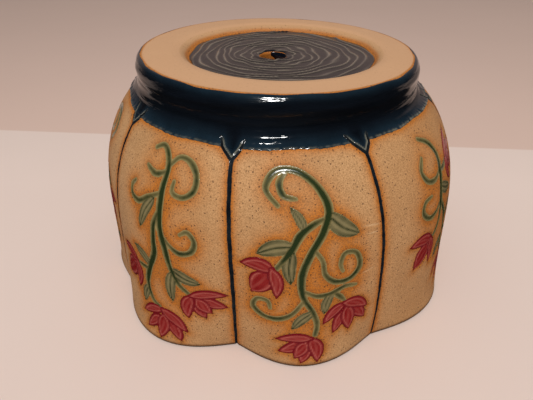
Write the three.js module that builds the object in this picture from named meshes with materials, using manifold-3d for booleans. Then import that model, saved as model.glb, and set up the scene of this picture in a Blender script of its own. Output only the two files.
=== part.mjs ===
// Hand-thrown stoneware planter with eight lobes, standing upside down on its mouth.
// Millimetres, +Z up. The mouth's rim lies in the plane z = 0 and the foot is on top.
// Angles run from the front, -Y, and grow towards +X.
//
// The pot is one fired body. Each glaze that was laid on it by itself is its own solid:
// the collar's coat, the foot well's coat, eight seam lines, eight vines and their blossoms.
import * as THREE from 'three';
import { mergeVertices } from 'three/addons/utils/BufferGeometryUtils.js';
import Module from 'manifold-3d';

const wasm = await Module();
wasm.setup();

// ---------------------------------------------------------------- Driving dimensions

// Wall, seen in section through a seam
const RIM_RADIUS = 83.8;          // seam to axis at the rim
const BELLY_RADIUS = 86;          // seam to axis at the widest height
const BELLY_HEIGHT = 30;
const SHOULDER_RADIUS = 69.6;     // where the wall ends and the collar's coat begins
const SHOULDER_HEIGHT = 89.3;
const SHOULDER_TURN = 3.3;        // exponent: how late the wall turns in to the shoulder
const RIM_TUCK_TURN = 2.5;        // exponent: how late the wall tucks in to the rim
const RIM_CHAMFER = 1.2;
const WALL = 6.2;                 // clay, measured square to the wall

// Lobes between the seams
const RIM_LOBE = 6.5;             // how far the lobes flare at the rim
const RIM_LOBE_REACH = 13.4;      // height over which the flare fades
const WALL_LOBE = 1.2;            // how far they stand out all the way up
const LOBE_END_TURN = 6;          // exponent: how late they die out towards the shoulder
const LOBE_FULLNESS = 1.29;       // exponent of the lobe's cosine cross-section
const SEAM_ANGLES = [-57.6, -12.5, 28.3, 77.8, 122.7, 167.6, 212.6, 257.5];   // degrees
const SEAM_LEAN = [-3.4, 0.9, 2.2, -3.8, -3.7, 1.2, -0.9, 1.6];   // degrees, rim less shoulder
const SEAM_BOW = [1.8, 1.0, 1.4, 1.9, 1.9, 1.2, 1.5, 1.4];        // degrees, at mid-height
const BOW_MEAN = 0.6;             // share of the bow that a seam's angle already holds
const LOBE_SWELL = [3.2, 2.0, 0.5, -1.0, 1.4, 2.6, 1.2, -0.6];    // extra flare of each lobe

// Collar and foot
const WAIST_RADIUS = 63.4;
const WAIST_HEIGHT = 97.5;
const COLLAR_RADIUS = 65;
const COLLAR_HEIGHT = 102;        // height of the collar's widest line
const FOOT_HEIGHT = 107.7;        // rim plane to the foot ring's face, on the axis
const FOOT_OUTER_RADIUS = 61.7;
const FOOT_INNER_RADIUS = 47.5;
const COLLAR_SHIFT = new THREE.Vector2(-0.3, 0.9);    // the collar was thrown slightly off centre
const WAIST_LEAN = new THREE.Vector2(-0.045, 0.0128); // rise of the waist's plane along X and Y
const FOOT_LEAN = new THREE.Vector2(-0.027, 0.0128);  // the same for the foot's plane
const SHOULDER_LIFT_HEIGHT = 3.2; // the shoulder stands this much higher on one side
const LIFT_ANGLE = -95;           // degrees: the middle of that side
const LIFT_SPREAD = 40;           // degrees
const LIFT_START_HEIGHT = 50;     // the wall below this keeps its height

// Foot well, floor and drain
const WELL_RADIUS = 43.6;
const WELL_DEPTH = 3;             // foot ring's face to the well's coat
const FLOOR = 8;                  // well's coat to the ceiling of the pot's inside
const CEILING_RADIUS = 40;        // flat part of that ceiling
const INNER_SHOULDER_DEPTH = 13;  // ceiling to where the inner wall begins to turn in
const DRAIN_RADIUS = 6.35;
const WELL_SHIFT = new THREE.Vector2(1.9, 2.0);
const DRAIN_SHIFT = new THREE.Vector2(-1.8, -1.4);
const THROWING_RINGS = 10;
const THROWING_RING_HEIGHT = 0.5;

// Glazes
const GLAZE = 0.8;                // thickness of every coat and inlay
const GAP = 0.3;                  // clearance between a glaze and the clay that carries it
const BLOSSOM_GAP = 0.65;         // the same under a blossom, whose faces are wide and flat
const SEAM_LINE_WIDTH = 1.6;
const POINT_HALF_WIDTH = 3.8;     // the collar's coat runs down into each seam as a point
const POINT_HEIGHT = 3.2;         // height of that point
const SEAM_LINE_START = 0.8;      // the line stops this short of the rim plane

// The vines are drawn on a flat panel of this size and fitted to the eight real ones
const DRAWING_UNIT_LENGTH = 1;    // length of one unit of the drawings
const PANEL_HALF_WIDTH = 33.8;
const PANEL_HEIGHT = 89.3;
const STEM_WIDTH = 3.4;
const TENDRIL_WIDTH = 2.7;
const STROKE_STEP = 9;            // length of one straight piece of a stroke
const CURL_STEP_TURN = 0.85;      // radians: most that a stroke turns in one piece
const SHORT_STEP = 2;             // a last piece shorter than this joins the one before it
const GOUGE_END = 0.62;           // width of a stroke's end as a share of its full width
const JOIN_STEP = 0.12;           // each branching lies this much deeper than its parent
const TENDRIL_LEVEL = 2;
const LEAF_LEVEL = 2.5;
const TWIG_LEVEL = 3;
const TIP_GAP = 0.6;              // between a stem's end and its blossom

// ---------------------------------------------------------------- Colours

function finish(color, roughness) {
  return new THREE.MeshStandardMaterial({ color, roughness, metalness: 0 });
}
const CLAY = finish(0xb98a5c, 0.85);
const NAVY = finish(0x0d141c, 0.08);
const WELL_GREY = finish(0x4f4847, 0.2);
const LEAF_GREEN = finish(0x4c522b, 0.15);
const BLOSSOM_RED = finish(0x94332c, 0.25);

// ---------------------------------------------------------------- Solids from rings of points

const PANELS = SEAM_ANGLES.length;
const radians = THREE.MathUtils.degToRad;
const up = new THREE.Vector3(0, 0, 1);

// Joins rings of equal count into one closed skin. Each ring runs the way angles grow. The
// first ring follows the last unless the ends are closed: by a fan from a hub at the ring's
// middle, or from its first corner.
function skin(rings, ends) {
  const count = rings[0].length;
  const points = rings.flat();
  const faces = [];
  const joins = ends === 'none' ? rings.length : rings.length - 1;
  for (let i = 0; i < joins; i += 1) {
    const low = i * count;
    const high = ((i + 1) % rings.length) * count;
    for (let j = 0; j < count; j += 1) {
      const next = (j + 1) % count;
      const [a, b, c, d] = [low + j, low + next, high + next, high + j];
      if (points[a].distanceTo(points[c]) < points[b].distanceTo(points[d])) {
        faces.push(a, b, c, a, c, d);
      } else {
        faces.push(a, b, d, b, c, d);
      }
    }
  }
  const top = (rings.length - 1) * count;
  if (ends === 'hub') {
    const first = points.push(middle(rings[0])) - 1;
    const last = points.push(middle(rings.at(-1))) - 1;
    for (let j = 0; j < count; j += 1) {
      const next = (j + 1) % count;
      faces.push(first, next, j, last, top + j, top + next);
    }
  }
  if (ends === 'corner') {
    for (let j = 1; j < count - 1; j += 1) {
      faces.push(0, j + 1, j, top, top + j, top + j + 1);
    }
  }
  const geometry = new THREE.BufferGeometry().setFromPoints(points);
  geometry.setIndex(faces);
  return geometry;
}

function middle(ring) {
  const sum = new THREE.Vector3();
  ring.forEach((point) => sum.add(point));
  return sum.divideScalar(ring.length);
}

function toManifold(geometry) {
  const bare = geometry.clone();
  bare.deleteAttribute('normal');
  bare.deleteAttribute('uv');
  const merged = mergeVertices(bare, 1e-4);
  return new wasm.Manifold(new wasm.Mesh({
    numProp: 3,
    vertProperties: Float32Array.from(merged.attributes.position.array),
    triVerts: Uint32Array.from(merged.index.array),
  }));
}

function toGeometry(manifold) {
  const mesh = manifold.getMesh();
  const geometry = new THREE.BufferGeometry();
  geometry.setAttribute('position', new THREE.BufferAttribute(mesh.vertProperties, 3));
  geometry.setIndex(new THREE.BufferAttribute(mesh.triVerts, 1));
  return geometry;
}

function joined(geometries) {
  const [first, ...others] = geometries.map(toManifold);
  return toGeometry(others.reduce((whole, piece) => whole.add(piece), first));
}

// ---------------------------------------------------------------- The lobed wall

// Distance of a seam from the axis. The wall is widest at BELLY_HEIGHT.
function seamRadius(z) {
  const above = Math.max(0, (z - BELLY_HEIGHT) / (SHOULDER_HEIGHT - BELLY_HEIGHT));
  const below = Math.max(0, 1 - z / BELLY_HEIGHT);
  return BELLY_RADIUS
    - (BELLY_RADIUS - SHOULDER_RADIUS) * above ** SHOULDER_TURN
    - (BELLY_RADIUS - RIM_RADIUS) * below ** RIM_TUCK_TURN;
}

function lobeHeight(z) {
  const share = z / SHOULDER_HEIGHT;
  return RIM_LOBE * Math.exp(-z / RIM_LOBE_REACH) + WALL_LOBE * (1 - share ** LOBE_END_TURN);
}

// A seam leans and bows a little on its way up. Its own angle is near its mean.
function seamAngle(seam, z) {
  const share = z / SHOULDER_HEIGHT;
  const turns = Math.floor(seam / PANELS);
  const k = seam - turns * PANELS;
  const degrees = SEAM_ANGLES[k] + 360 * turns
    + SEAM_LEAN[k] * (0.5 - share)
    + SEAM_BOW[k] * (4 * share * (1 - share) - BOW_MEAN);
  return radians(degrees);
}

// across runs from -1 at the panel's first seam to 1 at its second
function panelAngle(panel, across, z) {
  const start = seamAngle(panel, z);
  return start + (seamAngle(panel + 1, z) - start) * (across + 1) / 2;
}

function wallRadius(panel, across, z) {
  const crown = Math.max(0, Math.cos(across * Math.PI / 2));
  const share = z / SHOULDER_HEIGHT;
  return seamRadius(z)
    + lobeHeight(z) * crown ** LOBE_FULLNESS
    + LOBE_SWELL[panel] * crown * (1 - share);
}

function polar(angle, radius, z) {
  return new THREE.Vector3(radius * Math.sin(angle), -radius * Math.cos(angle), z);
}

// The shoulder's lift fades out down the wall and up the collar
function lifted(point) {
  const degrees = THREE.MathUtils.radToDeg(Math.atan2(point.x, -point.y));
  const turn = THREE.MathUtils.euclideanModulo(degrees - LIFT_ANGLE + 180, 360) - 180;
  const rise = THREE.MathUtils.smoothstep(point.z, LIFT_START_HEIGHT, SHOULDER_HEIGHT);
  const fade = 1 - THREE.MathUtils.smoothstep(point.z, SHOULDER_HEIGHT, COLLAR_HEIGHT);
  const lift = SHOULDER_LIFT_HEIGHT * Math.exp(-((turn / LIFT_SPREAD) ** 2)) * rise * fade;
  return new THREE.Vector3(point.x, point.y, point.z + lift);
}

function wallPoint(panel, across, z) {
  return lifted(polar(panelAngle(panel, across, z), wallRadius(panel, across, z), z));
}

// Outward direction square to the wall. In the crease of a seam it points between the lobes.
function wallNormal(panel, across, z) {
  const step = 0.01;
  const angle = panelAngle(panel, across, z);
  const sideways = Math.abs(across) > 1 - step
    ? polar(angle + Math.PI / 2, 1, 0)
    : wallPoint(panel, across + step, z).sub(wallPoint(panel, across - step, z));
  const upwards = wallPoint(panel, across, z + step).sub(wallPoint(panel, across, z - step));
  return sideways.cross(upwards).normalize();
}

// ---------------------------------------------------------------- The collar's section

// Each stage of the collar's outline gives a radius, a height and the outward direction there
function coveStage(turn) {
  const angle = turn * Math.PI / 2;
  return {
    radius: SHOULDER_RADIUS + (WAIST_RADIUS - SHOULDER_RADIUS) * Math.sin(angle),
    height: WAIST_HEIGHT + (SHOULDER_HEIGHT - WAIST_HEIGHT) * Math.cos(angle),
    out: Math.sin(angle),
    lift: Math.cos(angle),
  };
}

function bulgeStage(turn) {
  return {
    radius: WAIST_RADIUS + (COLLAR_RADIUS - WAIST_RADIUS) * Math.sin(turn * Math.PI / 2) ** 2,
    height: WAIST_HEIGHT + (COLLAR_HEIGHT - WAIST_HEIGHT) * turn,
    out: 1,
    lift: 0,
  };
}

function edgeStage(turn) {
  const angle = turn * Math.PI / 2;
  return {
    radius: FOOT_OUTER_RADIUS + (COLLAR_RADIUS - FOOT_OUTER_RADIUS) * Math.cos(angle),
    height: COLLAR_HEIGHT + (FOOT_HEIGHT - COLLAR_HEIGHT) * Math.sin(angle),
    out: Math.cos(angle),
    lift: Math.sin(angle),
  };
}

const COLLAR_STAGES = [
  coveStage(0.3), coveStage(0.65), coveStage(1),
  bulgeStage(1), edgeStage(0.5),
];

// The collar leans and its centre is shifted. Both fade out down the cove.
function onFoot(point) {
  const fade = THREE.MathUtils.smoothstep(point.z, SHOULDER_HEIGHT, WAIST_HEIGHT);
  const nearFoot = THREE.MathUtils.smoothstep(point.z, WAIST_HEIGHT, COLLAR_HEIGHT);
  const x = point.x + COLLAR_SHIFT.x * fade;
  const y = point.y + COLLAR_SHIFT.y * fade;
  const lean = WAIST_LEAN.clone().lerp(FOOT_LEAN, nearFoot);
  return new THREE.Vector3(x, y, point.z + (lean.x * x + lean.y * y) * fade);
}

function collarPoint(angle, stage, depth) {
  const { radius, height, out, lift } = stage;
  return onFoot(lifted(polar(angle, radius - out * depth, height - lift * depth)));
}

// ---------------------------------------------------------------- Columns round the pot

// Where the upright lines of the body's skin run, as panel and distance from a seam, or as a
// share across the panel. The two nearest each seam are the floor of the seam's groove.
const GROOVE_FLOOR = SEAM_LINE_WIDTH / 2 + GAP;
const GROOVE_EDGE = GROOVE_FLOOR + GAP;
const RECESS = GLAZE + GAP;
const SEAM_OFFSETS = [GROOVE_FLOOR, GROOVE_EDGE, POINT_HALF_WIDTH];
const PANEL_SHARES = [-0.62, -0.31, 0, 0.31, 0.62];

function makeColumns() {
  const columns = [];
  for (let panel = 0; panel < PANELS; panel += 1) {
    SEAM_OFFSETS.forEach((offset) => columns.push({ panel, side: -1, offset }));
    PANEL_SHARES.forEach((share) => columns.push({ panel, side: 0, share, offset: Infinity }));
    [...SEAM_OFFSETS].reverse().forEach((offset) => columns.push({ panel, side: 1, offset }));
  }
  return columns;
}
const COLUMNS = makeColumns();

function halfPanelWidth(panel, z) {
  return seamRadius(z) * (seamAngle(panel + 1, z) - seamAngle(panel, z)) / 2;
}

function columnShare(column, z) {
  if (column.side === 0) return column.share;
  return column.side * (1 - column.offset / halfPanelWidth(column.panel, z));
}

// Height where the clay wall steps down under the collar's coat, at a distance from a seam
function coatEdge(offset) {
  return SHOULDER_HEIGHT - POINT_HEIGHT * Math.max(0, 1 - offset / POINT_HALF_WIDTH);
}

const WALL_ROWS = [0.1, 0.22, 0.36, 0.5, 0.63, 0.75, 0.85, 0.93];

// A point at a depth under the wall. The two columns beside a seam follow its crease.
function underWall(column, z, depth) {
  const { panel, side, offset } = column;
  if (offset === GROOVE_FLOOR) {
    const normal = wallNormal(panel, side, z);
    const aside = new THREE.Vector3().crossVectors(up, normal).setLength(-side * offset);
    return wallPoint(panel, side, z).add(aside).addScaledVector(normal, -depth);
  }
  const across = columnShare(column, z);
  const normal = wallNormal(panel, across, z);
  return wallPoint(panel, across, z).addScaledVector(normal, -depth);
}

function collarAngle(column) {
  return panelAngle(column.panel, columnShare(column, SHOULDER_HEIGHT), SHOULDER_HEIGHT);
}

function bodyColumn(column) {
  const inGroove = column.offset === GROOVE_FLOOR;
  const edge = coatEdge(column.offset);
  const at = (z) => underWall(column, z, inGroove ? RECESS : 0);
  const rim = at(RIM_CHAMFER);
  const inner = 1 - RIM_CHAMFER / Math.hypot(rim.x, rim.y);
  const points = [new THREE.Vector3(rim.x * inner, rim.y * inner, 0), rim];
  WALL_ROWS.forEach((share) => points.push(at(share * edge)));
  points.push(underWall(column, edge, inGroove ? RECESS - GAP / 2 : 0));
  points.push(underWall(column, edge, RECESS));
  const angle = collarAngle(column);
  COLLAR_STAGES.forEach((stage) => points.push(collarPoint(angle, stage, RECESS)));
  const end = edgeStage(1);
  end.radius -= GAP;
  points.push(collarPoint(angle, end, RECESS));
  points.push(collarPoint(angle, end, 0));
  return points;
}

// Turns a list of columns into a list of rings
function ringsOf(columns) {
  return columns[0].map((_, row) => columns.map((column) => column[row]));
}

// ---------------------------------------------------------------- Body

const CEILING = FOOT_HEIGHT - WELL_DEPTH - FLOOR;
const INNER_SHOULDER = CEILING - INNER_SHOULDER_DEPTH;
const CAVITY_SHARES = [-1, -2 / 3, -1 / 3, 0, 1 / 3, 2 / 3];
const CAVITY_HEIGHTS = [0.12, 0.3, 0.52, 0.74, 0.9, 1];
const CAVITY_TURNS = [0.3, 0.65, 1];
const CUT_MARGIN = 4;             // a cutting solid runs this far past the face that it cuts

// The pot's inside keeps the wall's thickness, then turns in to a flat ceiling
function cavityColumn(panel, across) {
  const inside = (z) => {
    const normal = wallNormal(panel, across, z);
    const slope = Math.hypot(normal.x, normal.y);
    return wallRadius(panel, across, z) - WALL / slope;
  };
  const angle = (z) => panelAngle(panel, across, z);
  const points = [polar(angle(0), inside(0), -CUT_MARGIN), polar(angle(0), inside(0), 0)];
  CAVITY_HEIGHTS.forEach((share) => {
    const z = share * INNER_SHOULDER;
    points.push(polar(angle(z), inside(z), z));
  });
  const start = new THREE.Vector2(inside(INNER_SHOULDER), INNER_SHOULDER);
  const end = new THREE.Vector2(CEILING_RADIUS, CEILING);
  const corner = new THREE.Vector2(start.x - WALL, CEILING - WALL / 2);
  const turn = new THREE.QuadraticBezierCurve(start, corner, end);
  CAVITY_TURNS.forEach((share) => {
    const point = turn.getPoint(share);
    points.push(polar(angle(INNER_SHOULDER), point.x, point.y));
  });
  return points;
}

function cavity() {
  const columns = [];
  for (let panel = 0; panel < PANELS; panel += 1) {
    CAVITY_SHARES.forEach((share) => columns.push(cavityColumn(panel, share)));
  }
  return skin(ringsOf(columns), 'hub');
}

function circle(centre, radius, z, sides) {
  return Array.from({ length: sides }, (_, i) => {
    const point = polar(2 * Math.PI * i / sides, radius, z);
    return onFoot(point.add(new THREE.Vector3(centre.x, centre.y, 0)));
  });
}

const WELL_SIDES = 36;
const DRAIN_SIDES = 28;

function wellCut() {
  const coatSeat = FOOT_HEIGHT - WELL_DEPTH - RECESS;
  return skin([
    circle(WELL_SHIFT, WELL_RADIUS + GAP, coatSeat, WELL_SIDES),
    circle(WELL_SHIFT, WELL_RADIUS + GAP, FOOT_HEIGHT - WELL_DEPTH, WELL_SIDES),
    circle(WELL_SHIFT, FOOT_INNER_RADIUS, FOOT_HEIGHT, WELL_SIDES),
    circle(WELL_SHIFT, FOOT_INNER_RADIUS, FOOT_HEIGHT + CUT_MARGIN, WELL_SIDES),
  ], 'hub');
}

function drainCut() {
  return skin([
    circle(DRAIN_SHIFT, DRAIN_RADIUS, CEILING - CUT_MARGIN, DRAIN_SIDES),
    circle(DRAIN_SHIFT, DRAIN_RADIUS, FOOT_HEIGHT + CUT_MARGIN, DRAIN_SIDES),
  ], 'hub');
}

function stonewareBody() {
  const outside = toManifold(skin(ringsOf(COLUMNS.map(bodyColumn)), 'hub'));
  const hollow = outside.subtract(toManifold(cavity()));
  const dished = hollow.subtract(toManifold(wellCut()));
  return toGeometry(dished.subtract(toManifold(drainCut())));
}

// ---------------------------------------------------------------- Coats of the collar and well

// The coat lies in the body's recess, so its surface is the pot's own outline
function coatColumn(column) {
  const angle = collarAngle(column);
  const edge = coatEdge(column.offset);
  const lip = (depth) => {
    const point = underWall(column, edge, depth);
    const first = collarPoint(angle, COLLAR_STAGES[0], depth);
    return point.lerp(first, GAP / point.distanceTo(first));
  };
  const outer = [lip(0)];
  const inner = [lip(GLAZE)];
  [...COLLAR_STAGES, edgeStage(1)].forEach((stage) => {
    outer.push(collarPoint(angle, stage, 0));
    inner.push(collarPoint(angle, stage, GLAZE));
  });
  return [...outer, ...inner.reverse()];
}

function collarCoat() {
  return skin(ringsOf(COLUMNS.map(coatColumn)), 'none');
}

// The throwing rings are ripples round the drain that grow concentric with the well
function wellCoat() {
  const innerRadius = DRAIN_RADIUS + GAP;
  const top = FOOT_HEIGHT - WELL_DEPTH;
  const ring = (share, z) => {
    const centre = DRAIN_SHIFT.clone().lerp(WELL_SHIFT, share);
    return circle(centre, innerRadius + (WELL_RADIUS - innerRadius) * share, z, WELL_SIDES);
  };
  const steps = 2 * THROWING_RINGS;
  const rings = [ring(0, top - GLAZE), ring(1, top - GLAZE)];
  for (let i = steps; i >= 0; i -= 1) {
    const crest = i % 2 === 1 ? THROWING_RING_HEIGHT : 0;
    rings.push(ring(i / steps, top - THROWING_RING_HEIGHT / 2 + crest / 2));
  }
  return skin(rings, 'none');
}

// ---------------------------------------------------------------- Strokes laid on the wall

// A stroke is a bar that follows the wall. Each station gives a place on a panel, the bar's
// width there, and the depth of its underside and its face.
function bar(stations) {
  const centres = stations.map(({ panel, across, z }) => wallPoint(panel, across, z));
  const rings = stations.map(({ panel, across, z, width, under, face }, i) => {
    const ahead = centres[Math.min(i + 1, centres.length - 1)];
    const behind = centres[Math.max(i - 1, 0)];
    const normal = wallNormal(panel, across, z);
    const side = ahead.clone().sub(behind).cross(normal).setLength(width / 2);
    const low = centres[i].clone().addScaledVector(normal, under);
    const high = centres[i].clone().addScaledVector(normal, face);
    return [low.clone().add(side), low.sub(side), high.clone().sub(side), high.add(side)];
  });
  return skin(rings, 'corner');
}

// A seam line fills its groove from the rim up to the point of the collar's coat
const SEAM_LINE_SHARES = [0, 0.1, 0.22, 0.36, 0.5, 0.64, 0.77, 0.89, 1];

function seamLine(seam) {
  const top = coatEdge(GROOVE_FLOOR) - GAP;
  return bar(SEAM_LINE_SHARES.map((share) => {
    const z = SEAM_LINE_START + (top - SEAM_LINE_START) * share;
    return { panel: seam, across: -1, z, width: SEAM_LINE_WIDTH, under: -GLAZE, face: 0 };
  }));
}

// ---------------------------------------------------------------- Vines and blossoms

// Three blossoms seen from the side, their petals fanned out from the end of the stem. Each
// place is across and up from that end. The heart is where the petals meet.
const BELL = {
  heart: [-4.5, -3.5],
  outline: [
    [0, 0.5], [-4, 1.4], [-7.8, 2.1], [-13.4, 1.8], [-10.1, -2.7], [-10.3, -7],
    [-8.8, -10.7], [-3.6, -9.4], [0.9, -12.8], [2.1, -5.4],
  ],
};
const SPRAY = {
  heart: [-2.5, -3.5],
  outline: [
    [0, 0.3], [-7.3, 2.5], [-14.4, -0.3], [-13, -6.6], [-6, -8.5],
    [-3.7, -11.2], [0.4, -9.8], [3.3, -11.2], [3.9, -5.9], [1.8, -1.9],
  ],
};
const FAN = {
  heart: [3.2, -5.5],
  outline: [
    [0, 0], [-4.6, -2.7], [-8.6, -7.5], [-5.6, -9.6], [-3.8, -13.3], [0.2, -10],
    [3.3, -14.2], [5.8, -9.6], [11.3, -12.1], [12.5, -6.4], [5, -0.3],
  ],
};

// Each panel holds one of three scrolls. Places are in drawing units on the flat panel: across
// from its middle, and up from the rim. So are the widths of leaves.
const HOOK_SCROLL = {
  stems: [
    [[-12.6, 73.4], [-17.4, 78.6], [-12.6, 83.6], [-3, 83.6], [5, 79], [8.8, 71.5], [5.5, 63.5],
      [-0.5, 55], [-4.3, 45.5], [-3.8, 36], [0.3, 28], [2.3, 21.5], [1.7, 15.9]],
    [[5.8, 68], [1.5, 66.5], [-4, 63], [-7.8, 57.5], [-14.4, 49.3]],
  ],
  tendrils: [
    [[-8.4, 83.4], [-11.3, 80.2], [-9.8, 76.4], [-4.6, 75.4]],
    [[0.6, 57.6], [4.3, 52], [5.4, 45.5], [10, 41.3], [16.5, 41.4], [21, 46], [19.5, 52.3],
      [14.3, 53.6], [12, 49.5], [13, 45.8]],
    [[-4, 39], [2, 35.8], [8, 36], [14, 38], [19.5, 37.2]],
    [[-3.2, 34.4], [-8, 27.6], [-14, 24.6], [-20.5, 25.4], [-24.8, 29.6], [-23, 33.8],
      [-18.6, 33.4], [-17.4, 29.8]],
  ],
  twigs: [
    [[9, 36.3], [12.2, 33.4], [14.2, 31]],
  ],
  leaves: [
    { from: [-2, 64.4], to: [-7, 72.5], width: 3.4 },
    { from: [-7, 58.6], to: [-22, 55.3], width: 6 },
    { from: [-8, 57], to: [-8.8, 42.5], width: 5 },
    { from: [8, 69.5], to: [21, 60.5], width: 6.5 },
    { from: [8, 35.8], to: [5.3, 26.5], width: 3.8 },
    { from: [0.6, 27.8], to: [-8, 19.8], width: 4.2 },
  ],
  blossoms: [
    { kind: BELL, base: [-15.2, 48.6], turn: 0, flip: 1 },
    { kind: FAN, base: [13.8, 29.4], turn: 0, flip: 1 },
    { kind: SPRAY, base: [0.4, 14.2], turn: 0, flip: 1 },
  ],
};

const LOOP_SCROLL = {
  stems: [
    [[-6.5, 84.6], [-2.5, 86], [1.5, 84.3], [4.2, 80], [3.5, 73], [3.4, 65], [4, 57.8],
      [6.3, 50.3], [8.4, 42], [11.5, 35], [15.6, 31]],
    [[3.5, 66], [0.6, 59], [0.4, 51.7], [0.6, 45.7], [-2.6, 36.8], [-4.2, 28.5], [-1.5, 21],
      [2.4, 18.6]],
  ],
  tendrils: [
    [[3.9, 80], [8.5, 84], [14.5, 83.6], [18.8, 80], [18.6, 75], [14, 72], [8.8, 72.8],
      [8.8, 76.6]],
    [[3.7, 78.8], [-2, 77], [-8, 78.6]],
    [[3.4, 71.6], [-3, 68.6], [-9.5, 65], [-14.5, 65.8], [-15.8, 69], [-13.6, 71.6]],
    [[5, 55.8], [8.5, 52.2], [13, 49.8], [18, 51.5], [19.6, 56], [16.8, 59.6], [13.4, 58]],
  ],
  twigs: [
    [[-2.8, 36.4], [-6, 35.9], [-10, 35.8]],
  ],
  leaves: [
    { from: [-0.5, 68.8], to: [-7.8, 55], width: 4.4 },
    { from: [9, 41], to: [20.7, 36.6], width: 5 },
    { from: [9, 39.5], to: [8.9, 24.8], width: 4.6 },
    { from: [-3.6, 26.4], to: [-6.2, 16.8], width: 4.2 },
    { from: [-2, 38.8], to: [-12.6, 43.8], width: 4.2 },
  ],
  blossoms: [
    { kind: SPRAY, base: [16.4, 29.6], turn: 10, flip: -1 },
    { kind: FAN, base: [3.2, 17.6], turn: -10, flip: 1 },
    { kind: BELL, base: [-11, 35.4], turn: 0, flip: 1 },
  ],
};

const CREST_SCROLL = {
  stems: [
    [[-6, 84], [-0.5, 81], [2.4, 75.5], [1.6, 69], [0.2, 61], [-0.6, 52], [-2.2, 45.4],
      [-5, 42]],
    [[-0.1, 56], [4, 49], [6.5, 41], [6, 32], [8.6, 25.4]],
  ],
  tendrils: [
    [[1.8, 70.4], [-3.5, 67.6], [-9, 68.8], [-11.6, 73.5], [-9, 78]],
    [[0, 58.2], [-4, 53.6], [-9.3, 52.6], [-13.6, 56.5], [-12.5, 61], [-8, 62]],
    [[1.4, 69.4], [5, 69.2], [9, 70.8]],
    [[6.3, 39.4], [12, 35.6], [18, 37.5], [19.5, 43], [15.5, 45.3]],
  ],
  twigs: [],
  leaves: [
    { from: [0.4, 63], to: [11.5, 57.5], width: 5 },
    { from: [5.4, 45.6], to: [14, 53], width: 4.4 },
    { from: [6, 36], to: [-1, 27.5], width: 4.4 },
    { from: [7.6, 27.6], to: [18, 28.6], width: 4.2 },
  ],
  blossoms: [
    { kind: BELL, base: [-5.8, 41.2], turn: 0, flip: 1 },
    { kind: SPRAY, base: [9.9, 71.2], turn: 35, flip: -1 },
    { kind: FAN, base: [9.1, 24.2], turn: 0, flip: 1 },
  ],
};

const PANEL_SCROLLS = [
  { scroll: LOOP_SCROLL, mirror: 1 },
  { scroll: HOOK_SCROLL, mirror: 1 },
  { scroll: CREST_SCROLL, mirror: 1 },
  { scroll: LOOP_SCROLL, mirror: -1 },
  { scroll: HOOK_SCROLL, mirror: 1 },
  { scroll: CREST_SCROLL, mirror: -1 },
  { scroll: LOOP_SCROLL, mirror: 1 },
  { scroll: HOOK_SCROLL, mirror: -1 },
];

// Widths follow the panels when these are not the size that the scrolls were drawn at
const DRAWN_RADIUS = 86;
const SCROLL_SCALE = Math.min(SHOULDER_HEIGHT / PANEL_HEIGHT, BELLY_RADIUS / DRAWN_RADIUS);

function drawn([x, y]) {
  return new THREE.Vector2(x, y).multiplyScalar(DRAWING_UNIT_LENGTH);
}

function panelPlace(panel, mirror, place) {
  const across = mirror * place.x / PANEL_HALF_WIDTH;
  return { panel, across, z: place.y / PANEL_HEIGHT * SHOULDER_HEIGHT };
}

// Stations along a smooth curve, closer together where it turns quickly
function curveStations(curve, step) {
  const fine = curve.getSpacedPoints(Math.ceil(curve.getLength()));
  const picked = [0];
  let run = 0;
  let turned = 0;
  for (let i = 1; i < fine.length - 1; i += 1) {
    const before = fine[i].clone().sub(fine[i - 1]);
    const after = fine[i + 1].clone().sub(fine[i]);
    run += before.length();
    turned += Math.abs(before.angleTo(after));
    if (run >= step || turned >= CURL_STEP_TURN) {
      picked.push(i);
      run = 0;
      turned = 0;
    }
  }
  if (fine.length - 1 - picked.at(-1) < SHORT_STEP && picked.length > 2) picked.pop();
  picked.push(fine.length - 1);
  return picked.map((i) => ({ place: fine[i], share: i / (fine.length - 1) }));
}

function stroke(panel, mirror, places, widthAt, level) {
  const curve = new THREE.SplineCurve(places.map(drawn));
  return bar(curveStations(curve, STROKE_STEP).map(({ place, share }) => ({
    ...panelPlace(panel, mirror, place),
    width: widthAt(share) * SCROLL_SCALE,
    under: GAP + level * JOIN_STEP,
    face: GAP + GLAZE - level * JOIN_STEP,
  })));
}

// A gouge starts and ends narrower than it runs
function gouge(width) {
  return (share) => width * (GOUGE_END + (1 - GOUGE_END) * Math.sin(Math.PI * share));
}

const LEAF_SHARES = [0, 0.4, 1];
const LEAF_WIDTHS = [0.35, 1, 0.14];

function leaf(panel, mirror, { from, to, width }) {
  const start = drawn(from);
  const end = drawn(to);
  return bar(LEAF_SHARES.map((share, i) => ({
    ...panelPlace(panel, mirror, start.clone().lerp(end, share)),
    width: width * DRAWING_UNIT_LENGTH * LEAF_WIDTHS[i] * SCROLL_SCALE,
    under: GAP + LEAF_LEVEL * JOIN_STEP,
    face: GAP + GLAZE - LEAF_LEVEL * JOIN_STEP,
  })));
}

function vine(panel) {
  const { scroll, mirror } = PANEL_SCROLLS[panel];
  const thick = gouge(STEM_WIDTH);
  const thin = gouge(TENDRIL_WIDTH);
  const { stems, tendrils, twigs, leaves } = scroll;
  return joined([
    ...stems.map((places, i) => stroke(panel, mirror, places, thick, i)),
    ...tendrils.map((places) => stroke(panel, mirror, places, thin, TENDRIL_LEVEL)),
    ...twigs.map((places) => stroke(panel, mirror, places, thin, TWIG_LEVEL)),
    ...leaves.map((shape) => leaf(panel, mirror, shape)),
  ]);
}

// Place in a blossom on the flat panel
function blossomPlace({ kind, base, turn, flip }, [x, y]) {
  const centre = new THREE.Vector2();
  const heart = drawn([flip * kind.heart[0], kind.heart[1]]).rotateAround(centre, radians(turn));
  const place = drawn([flip * x, y]).rotateAround(centre, radians(turn));
  return drawn(base).addScaledVector(place.add(heart.setLength(TIP_GAP)), SCROLL_SCALE);
}

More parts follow.
